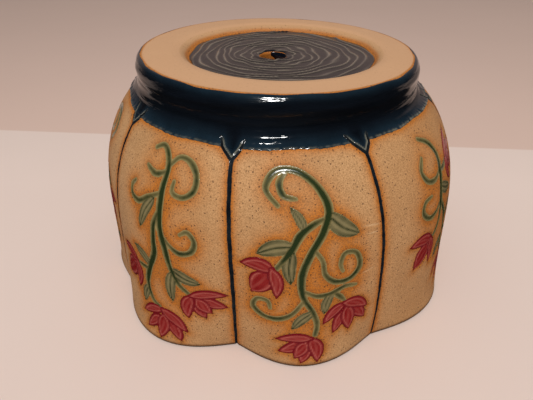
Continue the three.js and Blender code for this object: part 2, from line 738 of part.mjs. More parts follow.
function blossom(panel, mirror, shape) {
  const above = (corner, height) => {
    const { across, z } = panelPlace(panel, mirror, blossomPlace(shape, corner));
    return wallPoint(panel, across, z).addScaledVector(wallNormal(panel, across, z), height);
  };
  const { outline, heart } = shape.kind;
  const corners = mirror * shape.flip > 0 ? outline : [...outline].reverse();
  const ring = (height) => corners.map((corner) => above(corner, height));
  const shell = skin([ring(BLOSSOM_GAP), ring(BLOSSOM_GAP + GLAZE)], 'hub');
  const points = shell.attributes.position;
  const hearts = [above(heart, BLOSSOM_GAP), above(heart, BLOSSOM_GAP + GLAZE)];
  hearts.forEach((place, i) => points.setXYZ(points.count - 2 + i, place.x, place.y, place.z));
  return shell;
}

// ---------------------------------------------------------------- Assembly

const planter = new THREE.Group();

function add(name, geometry, material) {
  const mesh = new THREE.Mesh(geometry, material);
  mesh.name = name;
  planter.add(mesh);
}

add('stoneware_body', stonewareBody(), CLAY);
add('collar_glaze_coat', collarCoat(), NAVY);
add('foot_well_glaze_coat', wellCoat(), WELL_GREY);
for (let panel = 0; panel < PANELS; panel += 1) {
  const number = panel + 1;
  add(`seam_line_${number}`, seamLine(panel), NAVY);
  add(`vine_${number}`, vine(panel), LEAF_GREEN);
  const { scroll, mirror } = PANEL_SCROLLS[panel];
  scroll.blossoms.forEach((shape, i) => {
    add(`blossom_${number}_${'abc'[i]}`, blossom(panel, mirror, shape), BLOSSOM_RED);
  });
}

export default planter;
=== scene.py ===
"""Visual model of a lobed stoneware planter that stands upside down on its mouth.

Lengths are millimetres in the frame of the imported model, and turn into metres when a mesh or
an object is made. Angles run from the front, -Y, and grow towards +X.

The pot's whole outside is one fine grid of rows and columns. Everything that was cut into the
clay is a depth below that grid, and every glaze is a thin shell that follows it.
"""

import math

import bpy
import numpy as np
from mathutils import Matrix, Vector


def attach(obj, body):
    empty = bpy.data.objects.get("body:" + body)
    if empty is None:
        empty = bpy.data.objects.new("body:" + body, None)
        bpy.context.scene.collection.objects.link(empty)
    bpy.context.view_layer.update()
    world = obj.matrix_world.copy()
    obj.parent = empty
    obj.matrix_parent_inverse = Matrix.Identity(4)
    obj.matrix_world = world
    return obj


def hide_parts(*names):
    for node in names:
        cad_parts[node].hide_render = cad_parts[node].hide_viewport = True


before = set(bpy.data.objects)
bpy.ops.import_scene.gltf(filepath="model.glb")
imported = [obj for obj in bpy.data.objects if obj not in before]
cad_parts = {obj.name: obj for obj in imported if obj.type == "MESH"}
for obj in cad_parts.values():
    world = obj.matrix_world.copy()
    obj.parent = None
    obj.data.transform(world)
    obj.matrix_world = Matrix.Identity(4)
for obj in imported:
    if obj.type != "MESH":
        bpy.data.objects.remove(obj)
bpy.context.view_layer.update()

MM = 0.001

# ---------- Driving dimensions

RIM_RADIUS = 83.8
BELLY_RADIUS = 86
BELLY_HEIGHT = 30
SHOULDER_RADIUS = 69.6
SHOULDER_HEIGHT = 89.3
SHOULDER_TURN = 3.3
RIM_TUCK_TURN = 2.5
RIM_ROUND = 1.2
WALL = 6.2

RIM_LOBE = 6.5
RIM_LOBE_REACH = 13.4
WALL_LOBE = 1.2
LOBE_END_TURN = 6
LOBE_FULLNESS = 1.29
SEAM_ANGLES = np.array([-57.6, -12.5, 28.3, 77.8, 122.7, 167.6, 212.6, 257.5, 302.4])
SEAM_LEAN = np.array([-3.4, 0.9, 2.2, -3.8, -3.7, 1.2, -0.9, 1.6, -3.4])
SEAM_BOW = np.array([1.8, 1.0, 1.4, 1.9, 1.9, 1.2, 1.5, 1.4, 1.8])
BOW_MEAN = 0.6
LOBE_SWELL = np.array([4.8, 2.9, 1.2, -1.0, 1.4, 2.1, 1.2, -0.6])
SEAM_FULL = np.array([2.8, 0, 2.8, 0, 0, 0, 0, 0, 2.8])     # how far a valley fills at the rim
SEAM_FULL_REACH = 22
PANELS = 8

WAIST_RADIUS = 64.6
WAIST_HEIGHT = 97.5
COVE_TURN = 1.5
COLLAR_RADIUS = 65
COLLAR_HEIGHT = 102
FOOT_HEIGHT = 107.7
FOOT_OUTER_RADIUS = 61.7
FOOT_INNER_RADIUS = 47.5
FOOT_WORN_RADIUS = 51.5     # the standing face rounds off inside this
FOOT_WEAR = 0.7
COLLAR_SHIFT = (-0.3, 0.9)
WAIST_LEAN = (-0.045, 0.0128)
FOOT_LEAN = (-0.027, 0.0128)
SHOULDER_LIFT = 3.2
LIFT_ANGLE = -95
LIFT_SPREAD = 40
LIFT_START = 50

WELL_RADIUS = 43.6
WELL_DEPTH = 3
FLOOR = 8
CEILING_RADIUS = 40
INNER_SHOULDER_DROP = 13
DRAIN_RADIUS = 6.35
WELL_SHIFT = (1.9, 2.0)
DRAIN_SHIFT = (-1.8, -1.4)
THROWING_RINGS = 10

# Carving and glaze
PANEL_HALF_WIDTH = 33.8
STEM_WIDTH = 3.4
TENDRIL_WIDTH = 2.7
GOUGE_END = 0.62
TIP_GAP = 0.6
STEM_DEPTH = 0.85
TENDRIL_DEPTH = 0.65
LEAF_DEPTH = 0.4
PETAL_FULLNESS = 1.14
LEAF_FULLNESS = 1.08
LEAF_BLUNTNESS = 0.5        # the smaller, the blunter a leaf
SEAM_WIDTH = 1.6
SEAM_BOLDNESS = np.array([0.85, 0.95, 0.85, 0.8, 0.9, 1, 0.85, 0.95])
SEAM_FOOT = np.array([0.7, 0.68, 0.5, 0.6, 0.7, 0.6, 0.8, 0.7])    # width left at the rim
SEAM_DEPTH = 0.8
COAT_RECESS = 0.55
SHELL_THICKNESS = 0.4
GLAZE_SKIN = 0.05           # thickness of a glaze where nothing is cut
VINE_FILL = 0.45            # share of a cut that its glaze fills
SEAM_FILL = 0.5
EDGE_DROP = 0.8             # slope of a glaze's face past its edge, where it is under the clay
PETAL_DEPTH = 0.22
PETAL_LINE_DEPTH = 0.42
PETAL_LEVEL = 0.08

# ---------- Outline of the pot


def seam_radius(z):
    above = np.maximum(0, (z - BELLY_HEIGHT) / (SHOULDER_HEIGHT - BELLY_HEIGHT))
    below = np.maximum(0, 1 - z / BELLY_HEIGHT)
    shoulder = (BELLY_RADIUS - SHOULDER_RADIUS) * above ** SHOULDER_TURN
    tuck = (BELLY_RADIUS - RIM_RADIUS) * below ** RIM_TUCK_TURN
    return BELLY_RADIUS - shoulder - tuck


def seam_angle(seam, z):
    share = z / SHOULDER_HEIGHT
    lean = SEAM_LEAN[seam] * (0.5 - share)
    bow = SEAM_BOW[seam] * (4 * share * (1 - share) - BOW_MEAN)
    return np.radians(SEAM_ANGLES[seam] + lean + bow)


def panel_angle(panel, across, z):
    start = seam_angle(panel, z)
    return start + (seam_angle(panel + 1, z) - start) * (across + 1) / 2


def wall_radius(panel, across, z):
    crown = np.maximum(0, np.cos(across * np.pi / 2))
    share = z / SHOULDER_HEIGHT
    lobe = RIM_LOBE * np.exp(-z / RIM_LOBE_REACH) + WALL_LOBE * (1 - share ** LOBE_END_TURN)
    swell = LOBE_SWELL[panel] * crown * (1 - share)
    full = np.where(across < 0, SEAM_FULL[panel], SEAM_FULL[panel + 1])
    valley = full * (1 - crown) * np.exp(-z / SEAM_FULL_REACH)
    return seam_radius(z) + lobe * crown ** LOBE_FULLNESS + swell + valley


def polar(angle, radius, z):
    x = radius * np.sin(angle)
    return np.stack([x, -radius * np.cos(angle), np.broadcast_to(z, x.shape)], -1)


def smoothstep(value):
    held = np.clip(value, 0, 1)
    return held * held * (3 - 2 * held)


def between(value, low, high):
    return smoothstep((value - low) / (high - low))


def lifted(points):
    """Raises one side of the shoulder."""
    degrees = np.degrees(np.arctan2(points[..., 0], -points[..., 1]))
    turn = (degrees - LIFT_ANGLE + 180) % 360 - 180
    z = points[..., 2]
    fade = 1 - between(z, SHOULDER_HEIGHT, COLLAR_HEIGHT)
    share = between(z, LIFT_START, SHOULDER_HEIGHT) * fade
    lift = SHOULDER_LIFT * np.exp(-(turn / LIFT_SPREAD) ** 2) * share
    return np.stack([points[..., 0], points[..., 1], z + lift], -1)


def on_foot(points):
    """Leans the collar and shifts its centre."""
    fade = between(points[..., 2], SHOULDER_HEIGHT, WAIST_HEIGHT)
    near_foot = between(points[..., 2], WAIST_HEIGHT, COLLAR_HEIGHT)
    x = points[..., 0] + COLLAR_SHIFT[0] * fade
    y = points[..., 1] + COLLAR_SHIFT[1] * fade
    lean_x, lean_y = (waist + (foot - waist) * near_foot
                      for waist, foot in zip(WAIST_LEAN, FOOT_LEAN))
    return np.stack([x, y, points[..., 2] + (lean_x * x + lean_y * y) * fade], -1)


# ---------- Columns of the grid

SEAM_OFFSETS = [0, 0.25, 0.5, 0.75, 1, 1.3, 1.65, 2.1, 2.6]
COLUMN_STEP = 0.55


def panel_columns(panel):
    half = BELLY_RADIUS * np.radians(SEAM_ANGLES[panel + 1] - SEAM_ANGLES[panel]) / 2
    near = np.array(SEAM_OFFSETS) / half
    count = round(2 * (half - SEAM_OFFSETS[-1]) / COLUMN_STEP)
    middle = np.linspace(-1 + near[-1], 1 - near[-1], count)[1:-1]
    return np.concatenate([near - 1, middle, 1 - near[:0:-1]])


panel_shares = [panel_columns(panel) for panel in range(PANELS)]
PANEL = np.concatenate([np.full(len(s), k) for k, s in enumerate(panel_shares)])
ACROSS = np.concatenate(panel_shares)
COLUMNS = len(ACROSS)
COLLAR_ANGLE = panel_angle(PANEL, ACROSS, SHOULDER_HEIGHT)
HALF_TURN = (seam_angle(PANEL + 1, SHOULDER_HEIGHT) - seam_angle(PANEL, SHOULDER_HEIGHT)) / 2

# ---------- Rows of the grid

RIM_ROWS = 5
WALL_ROWS = 190
COVE_ROWS = 26
BULGE_ROWS = 10
EDGE_ROWS = 16
FOOT_ROWS = 22


def wall_row(z, inset=0):
    radius = wall_radius(PANEL, ACROSS, max(z, RIM_ROUND)) - inset
    return lifted(polar(panel_angle(PANEL, ACROSS, z), radius, z))


def collar_row(radius, z):
    return on_foot(lifted(polar(COLLAR_ANGLE, radius, z)))


def well_row(radius, z, share, shift=WELL_SHIFT):
    points = polar(COLLAR_ANGLE, radius, z)
    points[:, :2] += np.array(shift) * share
    return on_foot(points)


def between_centres(share):
    """Shift at a share of the way from the drain's centre to the well's."""
    return np.array(DRAIN_SHIFT) + (np.array(WELL_SHIFT) - DRAIN_SHIFT) * share


rows = []
profile = []          # radius and height of each row, seen in section through a seam
half_widths = []      # from a panel's middle to its seam, along the surface


def add_row(points, radius, z, half_width):
    rows.append(points)
    profile.append((radius, z))
    half_widths.append(half_width)


def add_wall(z, inset=0):
    radius = seam_radius(z)
    half = radius * (seam_angle(PANEL + 1, z) - seam_angle(PANEL, z)) / 2
    add_row(wall_row(z, inset), radius - inset, z, half)


def add_collar(radius, z):
    add_row(collar_row(radius, z), radius, z, radius * HALF_TURN)


for turn in np.linspace(0, np.pi / 2, RIM_ROWS + 1)[:-1]:
    add_wall(RIM_ROUND * (1 - np.cos(turn)), RIM_ROUND * (1 - np.sin(turn)))
for z in np.linspace(RIM_ROUND, SHOULDER_HEIGHT, WALL_ROWS):
    add_wall(z)
LAST_WALL_ROW = len(rows) - 1
for turn in np.linspace(0, np.pi / 2, COVE_ROWS)[1:]:
    radius = SHOULDER_RADIUS + (WAIST_RADIUS - SHOULDER_RADIUS) * np.sin(turn) ** COVE_TURN
    z = WAIST_HEIGHT + (SHOULDER_HEIGHT - WAIST_HEIGHT) * np.cos(turn)
    add_collar(radius, z)
for share in np.linspace(0, 1, BULGE_ROWS)[1:]:
    radius = WAIST_RADIUS + (COLLAR_RADIUS - WAIST_RADIUS) * np.sin(share * np.pi / 2) ** 2
    z = WAIST_HEIGHT + (COLLAR_HEIGHT - WAIST_HEIGHT) * share
    add_collar(radius, z)
for turn in np.linspace(0, np.pi / 2, EDGE_ROWS)[1:]:
    radius = FOOT_OUTER_RADIUS + (COLLAR_RADIUS - FOOT_OUTER_RADIUS) * np.cos(turn)
    z = COLLAR_HEIGHT + (FOOT_HEIGHT - COLLAR_HEIGHT) * np.sin(turn)
    add_collar(radius, z)
LAST_EDGE_ROW = len(rows) - 1
for share in np.linspace(0, 1, FOOT_ROWS)[1:]:
    radius = FOOT_OUTER_RADIUS + (FOOT_INNER_RADIUS - FOOT_OUTER_RADIUS) * share
    worn = max(0, (FOOT_WORN_RADIUS - radius) / (FOOT_WORN_RADIUS - FOOT_INNER_RADIUS))
    z = FOOT_HEIGHT - FOOT_WEAR * worn ** 2
    add_row(well_row(radius, z, share), radius, z, radius * HALF_TURN)

outside = np.array(rows)
profile = np.array(profile)
half_widths = np.array(half_widths)
steps = np.hypot(*np.diff(profile, axis=0).T)
CLIMB = np.concatenate([[0], np.cumsum(steps)])       # way up the surface from the rim
CLIMB_SHOULDER = CLIMB[LAST_WALL_ROW]
CLIMB_FOOT = CLIMB[LAST_EDGE_ROW]


def climb(z):
    return np.interp(z, profile[:LAST_WALL_ROW + 1, 1], CLIMB[:LAST_WALL_ROW + 1])


def grid_normals(points):
    sideways = np.roll(points, -1, 1) - np.roll(points, 1, 1)
    upwards = np.gradient(points, axis=0)
    normals = np.cross(sideways, upwards)
    return normals / np.linalg.norm(normals, axis=2, keepdims=True)


normals = grid_normals(outside)


def fading(edge, reach, turn):
    """1 inside an edge, and less and less outside it, where the edge is negative."""
    return np.exp(-(np.maximum(-edge, 0) / reach) ** turn)


def ripple(angle, waves, seed):
    """Sum of sines round the pot, from about -1 to 1. waves holds counts per turn."""
    phases = np.random.default_rng(seed).uniform(0, 2 * np.pi, len(waves))
    total = sum(np.sin(n * angle + phase) for n, phase in zip(waves, phases))
    return total / math.sqrt(len(waves))


# ---------- Scrolls
# Places are millimetres on a flat panel: across from its middle, and up from the rim.

# Three blossoms seen from the side. Each petal, back ones first, runs from its root to its tip,
# across and up from the end of the stem, with half its width and how far it bends.
BELL = {
    "heart": (-4.5, -3.5),
    "petals": [
        ((-3.2, -1.6), (-9.6, -11.2), 4.2, 0.5),
        ((-0.2, 0.3), (-13.8, 1.9), 2.7, -1.1),
        ((-0.9, 0.5), (0.9, -13.2), 2.5, 1.2),
    ],
}
SPRAY = {
    "heart": (-2.5, -3.5),
    "petals": [
        ((-1.4, -3.6), (-3.9, -11.5), 2.4, 0.2),
        ((-4.2, -1.2), (-13.4, -6.6), 2.4, 0.5),
        ((-2.2, -1.4), (-6.6, -9.2), 2.7, 0.3),
        ((0.2, 0.1), (3.2, -11.5), 2.7, 1.2),
        ((0.2, 0.4), (-14.8, -0.2), 2.1, -0.9),
    ],
}
FAN = {
    "heart": (3.2, -5.5),
    "petals": [
        ((-0.6, -4.2), (-4.2, -13.7), 2.3, 0.2),
        ((4.2, -3.6), (11.9, -12), 2.5, 0.6),
        ((1.6, -2.2), (3.4, -14.6), 2.9, 0.3),
        ((0.3, 0.3), (-9, -8), 2.2, -0.9),
        ((0.3, 0.3), (13, -6.2), 2.5, 1.2),
    ],
}

HOOK_SCROLL = {
    "stems": [
        [(-12.6, 73.4), (-17.4, 78.6), (-12.6, 83.6), (-3, 83.6), (5, 79), (8.8, 71.5), (5.5, 63.5),
         (-0.5, 55), (-4.3, 45.5), (-3.8, 36), (0.3, 28), (2.3, 21.5), (1.7, 15.9)],
        [(5.8, 68), (1.5, 66.5), (-4, 63), (-7.8, 57.5), (-14.4, 49.3)],
    ],
    "tendrils": [
        [(-8.4, 83.4), (-11.3, 80.2), (-9.8, 76.4), (-4.6, 75.4)],
        [(0.6, 57.6), (4.3, 52), (5.4, 45.5), (10, 41.3), (16.5, 41.4), (21, 46), (19.5, 52.3),
         (14.3, 53.6), (12, 49.5), (13, 45.8)],
        [(-4, 39), (2, 35.8), (8, 36), (14, 38), (19.5, 37.2)],
        [(-3.2, 34.4), (-8, 27.6), (-14, 24.6), (-20.5, 25.4), (-24.8, 29.6), (-23, 33.8),
         (-18.6, 33.4), (-17.4, 29.8)],
    ],
    "twigs": [
        [(9, 36.3), (12.2, 33.4), (14.2, 31)],
    ],
    "leaves": [
        ((-2, 64.4), (-7, 72.5), 3.4),
        ((-7, 58.6), (-22, 55.3), 6),
        ((-8, 57), (-8.8, 42.5), 5),
        ((8, 69.5), (21, 60.5), 6.5),
        ((8, 35.8), (5.3, 26.5), 3.8),
        ((0.6, 27.8), (-8, 19.8), 4.2),
    ],
    "blossoms": [(BELL, (-15.2, 48.6), 0, 1), (FAN, (13.8, 29.4), 0, 1),
                 (SPRAY, (0.4, 14.2), 0, 1)],
}

LOOP_SCROLL = {
    "stems": [
        [(-6.5, 84.6), (-2.5, 86), (1.5, 84.3), (4.2, 80), (3.5, 73), (3.4, 65), (4, 57.8),
         (6.3, 50.3), (8.4, 42), (11.5, 35), (15.6, 31)],
        [(3.5, 66), (0.6, 59), (0.4, 51.7), (0.6, 45.7), (-2.6, 36.8), (-4.2, 28.5),
         (-1.5, 21), (2.4, 18.6)],
    ],
    "tendrils": [
        [(3.9, 80), (8.5, 84), (14.5, 83.6), (18.8, 80), (18.6, 75), (14, 72), (8.8, 72.8),
         (8.8, 76.6)],
        [(3.7, 78.8), (-2, 77), (-8, 78.6)],
        [(3.4, 71.6), (-3, 68.6), (-9.5, 65), (-14.5, 65.8), (-15.8, 69), (-13.6, 71.6)],
        [(5, 55.8), (8.5, 52.2), (13, 49.8), (18, 51.5), (19.6, 56), (16.8, 59.6), (13.4, 58)],
    ],
    "twigs": [
        [(-2.8, 36.4), (-6, 35.9), (-10, 35.8)],
    ],
    "leaves": [
        ((-0.5, 68.8), (-7.8, 55), 4.4),
        ((9, 41), (20.7, 36.6), 5),
        ((9, 39.5), (8.9, 24.8), 4.6),
        ((-3.6, 26.4), (-6.2, 16.8), 4.2),
        ((-2, 38.8), (-12.6, 43.8), 4.2),
    ],
    "blossoms": [(SPRAY, (16.4, 29.6), 10, -1), (FAN, (3.2, 17.6), -10, 1),
                 (BELL, (-11, 35.4), 0, 1)],
}

CREST_SCROLL = {
    "stems": [
        [(-6, 84), (-0.5, 81), (2.4, 75.5), (1.6, 69), (0.2, 61), (-0.6, 52), (-2.2, 45.4),
         (-5, 42)],
        [(-0.1, 56), (4, 49), (6.5, 41), (6, 32), (8.6, 25.4)],
    ],
    "tendrils": [
        [(1.8, 70.4), (-3.5, 67.6), (-9, 68.8), (-11.6, 73.5), (-9, 78)],
        [(0, 58.2), (-4, 53.6), (-9.3, 52.6), (-13.6, 56.5), (-12.5, 61), (-8, 62)],
        [(1.4, 69.4), (5, 69.2), (9, 70.8)],
        [(6.3, 39.4), (12, 35.6), (18, 37.5), (19.5, 43), (15.5, 45.3)],
    ],
    "twigs": [],
    "leaves": [
        ((0.4, 63), (11.5, 57.5), 5),
        ((5.4, 45.6), (14, 53), 4.4),
        ((6, 36), (-1, 27.5), 4.4),
        ((7.6, 27.6), (18, 28.6), 4.2),
    ],
    "blossoms": [(BELL, (-5.8, 41.2), 0, 1), (SPRAY, (9.9, 71.2), 35, -1),
                 (FAN, (9.1, 24.2), 0, 1)],
}

PANEL_SCROLLS = [
    (LOOP_SCROLL, 1), (HOOK_SCROLL, 1), (CREST_SCROLL, 1), (LOOP_SCROLL, -1),
    (HOOK_SCROLL, 1), (CREST_SCROLL, -1), (LOOP_SCROLL, 1), (HOOK_SCROLL, -1),
]

# ---------- Carving on the grid

HALO_REACH = 11            # farthest that a glaze toasts the clay beside it
STEM_HALO = 0.8, 3.1       # how much the clay is toasted at the glaze's edge, and how far
LEAF_HALO = 0.75, 2.8
PETAL_HALO = 0.64, 2.2
BURNT_REACH = 0.7          # the darkest line of it, right at the glaze
TOP_COOLER = 0.5           # a panel's top is toasted less
COOLER_ABOVE = 62, 84
FADE = 0.6                 # a glaze's shell goes on this far under the clay, past its edge
NO_EDGE = -9               # stands for far outside an edge
LEAF_BEND = 0.07
VEIN_WIDTH = 0.32
THINNEST_LEAF = 0.35
PETAL_LINE_WIDTH = 0.72
PETAL_RIM_PLACE = 1.2
SCRATCH_DEPTH = 0.14


def smooth_curve(places, pieces=7):
    """Catmull-Rom curve through the places, as points."""
    p = np.array(places, float)
    p = np.concatenate([p[:1], p, p[-1:]])
    t = np.arange(pieces)[:, None] / pieces
    parts = []
    for a, b, c, d in zip(p, p[1:], p[2:], p[3:]):
        v0, v1 = (c - a) / 2, (d - b) / 2
        parts.append((2 * b - 2 * c + v0 + v1) * t ** 3
                     + (3 * c - 3 * b - 2 * v0 - v1) * t ** 2 + v0 * t + b)
    return np.concatenate([*parts, p[-1:]])


class Carving:
    """What is cut into one panel, or laid on it, at each point of the panel's grid."""

    def __init__(self, panel):
        self.columns = np.flatnonzero(PANEL == panel)
        self.rows = LAST_WALL_ROW + 1
        self.panel = panel
        self.half = half_widths[:self.rows, self.columns]
        self.side = ACROSS[self.columns] * self.half
        self.up = np.broadcast_to(CLIMB[:self.rows, None], self.side.shape)
        shape = self.side.shape
        self.depth, self.toast, self.char, self.scratch, self.pool, self.leaf = (
            np.zeros((6, *shape)))
        self.vine_edge = np.full(shape, float(NO_EDGE))
        self.blossoms = []

    def on_surface(self, places, mirror):
        """Turns flat places into ways along the surface, sideways and up."""
        flat = np.array(places, float)
        row = np.interp(flat[:, 1], profile[:self.rows, 1], np.arange(self.rows))
        half = np.interp(row, np.arange(self.rows), self.half[:, 0])
        return np.stack([mirror * flat[:, 0] / PANEL_HALF_WIDTH * half, climb(flat[:, 1])], -1)

    def near(self, curve):
        """Points near a curve, their distance from it, share along it, and side of it."""
        low = curve.min(0) - HALO_REACH
        high = curve.max(0) + HALO_REACH
        inside = ((self.side > low[0]) & (self.side < high[0])
                  & (self.up > low[1]) & (self.up < high[1]))
        points = np.stack([self.side[inside], self.up[inside]], -1)[:, None]
        start, way = curve[:-1], np.diff(curve, axis=0)
        length = np.hypot(*way.T)
        along = np.clip(((points - start) * way).sum(2) / length ** 2, 0, 1)
        offset = points - start - along[..., None] * way
        distance = np.hypot(offset[..., 0], offset[..., 1])
        best = distance.argmin(1)
        pick = np.arange(len(best)), best
        run = np.concatenate([[0], np.cumsum(length)])
        share = (run[best] + along[pick] * length[best]) / run[-1]
        turn = way[best, 0] * offset[pick][:, 1] - way[best, 1] * offset[pick][:, 0]
        return inside, distance[pick], share, np.sign(turn)

    def warm(self, inside, edge, strength, reach):
        """Toasts the clay outside an edge. Several edges add up."""
        cooler = 1 - TOP_COOLER * between(self.up[inside], *COOLER_ABOVE)
        glow = strength * cooler * fading(edge, reach, 1.25)
        self.toast[inside] = 1 - (1 - self.toast[inside]) * (1 - glow)
        self.char[inside] = np.maximum(self.char[inside], fading(edge, BURNT_REACH, 1.5))

    def lay(self, inside, edge, cut, pool, leaf, halo):
        """Cuts a vine's stroke or leaf, where nothing cuts deeper, and fills it with glaze."""
        deeper = cut > self.depth[inside]
        for field, value in ((self.depth, cut), (self.pool, pool), (self.leaf, leaf)):
            field[inside] = np.where(deeper, value, field[inside])
        self.vine_edge[inside] = np.maximum(self.vine_edge[inside], edge)
        self.warm(inside, edge, *halo)

    def stroke(self, places, mirror, width, depth, fine_end=GOUGE_END):
        inside, distance, share, _ = self.near(self.on_surface(smooth_curve(places), mirror))
        swell = fine_end + (1 - fine_end) * np.sin(np.pi * share)
        half = width / 2 * swell * (1 + 0.06 * np.sin(share * 23 + width * 7))
        edge = half - distance
        cut = depth * swell * np.maximum(0, 1 - (distance / half) ** 2)
        self.lay(inside, edge, cut, cut / STEM_DEPTH, 0, STEM_HALO)

    def leaf_blade(self, start, end, width, mirror):
        start, end = np.array(start, float), np.array(end, float)
        across = np.array([end[1] - start[1], start[0] - end[0]]) * LEAF_BEND
        places = [start, (start + end) / 2 + across, end]
        curve = self.on_surface(smooth_curve(places), mirror)
        inside, distance, share, _ = self.near(curve)
        bulge = np.sin(np.pi * share ** 0.8) ** LEAF_BLUNTNESS
        half = np.maximum(LEAF_FULLNESS * width / 2 * bulge, THINNEST_LEAF)
        edge = half - distance
        blade = np.clip(distance / half, 0, 1)
        rim = np.exp(-((edge - VEIN_WIDTH) / 0.3) ** 2)
        vein = np.exp(-(distance / VEIN_WIDTH) ** 2)
        ribs = (0.5 + 0.5 * np.cos(blade * 3 * np.pi)) * np.clip((width - 3) / 2, 0, 1)
        cut = LEAF_DEPTH * (0.55 * np.sqrt(1 - blade ** 2) + 0.6 * rim + 0.5 * vein
                            + 0.28 * ribs * (1 - vein))
        pool = 0.1 + 0.4 * rim + 0.34 * vein + 0.34 * ribs
        self.lay(inside, edge, np.where(edge > 0, cut, 0), pool, 1, LEAF_HALO)

    def blossom(self, kind, base, turn, flip, mirror):
        cos, sin = np.cos(np.radians(turn)), np.sin(np.radians(turn))

        def placed(x, y):
            return np.array([flip * x * cos - y * sin, flip * x * sin + y * cos])

        heart = placed(*kind["heart"])
        origin = np.array(base) + heart / np.hypot(*heart) * TIP_GAP
        union = np.full(self.side.shape, float(NO_EDGE))
        petal_edge = union.copy()
        streak = np.zeros(self.side.shape)
        for root, tip, half_width, bend in kind["petals"]:
            start, end = origin + placed(*root), origin + placed(*tip)
            way = (end - start) / np.hypot(*(end - start))
            outward = flip * np.array([way[1], -way[0]]) * bend
            curve = smooth_curve([start, (start + end) / 2 - outward, end])
            inside, distance, share, side = self.near(self.on_surface(curve, mirror))
            swell = np.sin(np.pi * np.clip(share, 0.03, 0.985) ** 0.72) ** 0.62
            half = PETAL_FULLNESS * half_width * swell
            edge = half - distance
            union[inside] = np.maximum(union[inside], edge)
            petal_edge[inside] = np.where(edge > 0, edge, petal_edge[inside])
            fibre = np.sin(side * distance * 2 + share * 4) * np.sin(np.pi * share)
            streak[inside] = np.where(edge > 0, fibre, streak[inside])
        petal_edge = np.where(union > 0, petal_edge, np.abs(union))
        line = np.exp(-(petal_edge / PETAL_LINE_WIDTH) ** 2.6)
        rim = np.exp(-((petal_edge - PETAL_RIM_PLACE) / 0.3) ** 2)
        cut = (PETAL_DEPTH + PETAL_LINE_DEPTH * line) * smoothstep((union + 0.35) / 0.5)
        self.depth = np.maximum(self.depth, cut)
        self.warm(np.s_[:], union, *PETAL_HALO)
        self.blossoms.append({"edge": union, "line": line, "rim": rim, "streak": streak})

    def scratched(self, start, end, width):
        inside, distance, share, _ = self.near(self.on_surface([start, end], 1))
        fade = np.exp(-(distance / width) ** 2) * np.sin(np.pi * np.clip(share, 0.02, 0.98))
        self.depth[inside] = np.maximum(self.depth[inside], SCRATCH_DEPTH * fade)
        self.scratch[inside] = np.maximum(self.scratch[inside], fade)


def carve(panel):
    scroll, mirror = PANEL_SCROLLS[panel]
    carving = Carving(panel)
    for shape in scroll["leaves"]:
        carving.leaf_blade(*shape, mirror)
    for places in scroll["twigs"] + scroll["tendrils"]:
        carving.stroke(places, mirror, TENDRIL_WIDTH, TENDRIL_DEPTH)
    for places in reversed(scroll["stems"]):
        carving.stroke(places, mirror, STEM_WIDTH, STEM_DEPTH)
    for kind, base, turn, flip in scroll["blossoms"]:
        carving.blossom(kind, base, turn, flip, mirror)
    return carving


SCRATCHES = [((22.5, 62.5), (33, 61), 0.3), ((24, 58.9), (31, 58.4), 0.22),
             ((22, 41.5), (29, 42.4), 0.22)]

carvings = [carve(panel) for panel in range(PANELS)]
for start, end, width in SCRATCHES:
    carvings[1].scratched(start, end, width)

shape = outside.shape[:2]


def alone(carving, values, empty=0):
    """One panel's values on the whole grid, with nothing on the other panels."""
    whole = np.full(shape, empty, float)
    whole[:carving.rows, carving.columns] = values
    return whole


depth, toast, char, scratch = (
    sum(alone(carving, getattr(carving, field)) for carving in carvings)
    for field in ("depth", "toast", "char", "scratch"))

# ---------- Seams and their forks

FORK_DROP = 4.8           # a seam splits into the arms of its fork this far below the shoulder
FORK_ARM_WIDTH = 1.15
ARM_DEPTH = 0.6
LEFT_ARM = [(-4.1, 0), (-5.5, 4.2)]       # beside the seam, and up past the shoulder
RIGHT_ARM = [(2.7, -0.9), (3.9, 3.6)]
ARM_CREST = 0.16

angle = np.arctan2(outside[..., 0], -outside[..., 1])
aside = np.where(ACROSS > 0, -1, 1) * (1 - np.abs(ACROSS)) * half_widths   # of nearest seam
from_seam = np.abs(aside)
up_surface = np.broadcast_to(CLIMB[:, None], shape)
CLIMB_FORK = CLIMB_SHOULDER - FORK_DROP


def distance_to_path(x, y, path):
    best = np.full(x.shape, 99.0)
    share = np.zeros(x.shape)
    total = sum(math.dist(a, b) for a, b in zip(path, path[1:]))
    run = 0
    for a, b in zip(path, path[1:]):
        dx, dy = b[0] - a[0], b[1] - a[1]
        length = math.hypot(dx, dy)
        t = np.clip(((x - a[0]) * dx + (y - a[1]) * dy) / length ** 2, 0, 1)
        distance = np.hypot(x - a[0] - t * dx, y - a[1] - t * dy)
        share = np.where(distance < best, (run + t * length) / total, share)
        best = np.minimum(distance, best)
        run += length
    return best, share


def arm_path(bends):
    return [(0, CLIMB_FORK)] + [(x, CLIMB_SHOULDER + y) for x, y in bends]


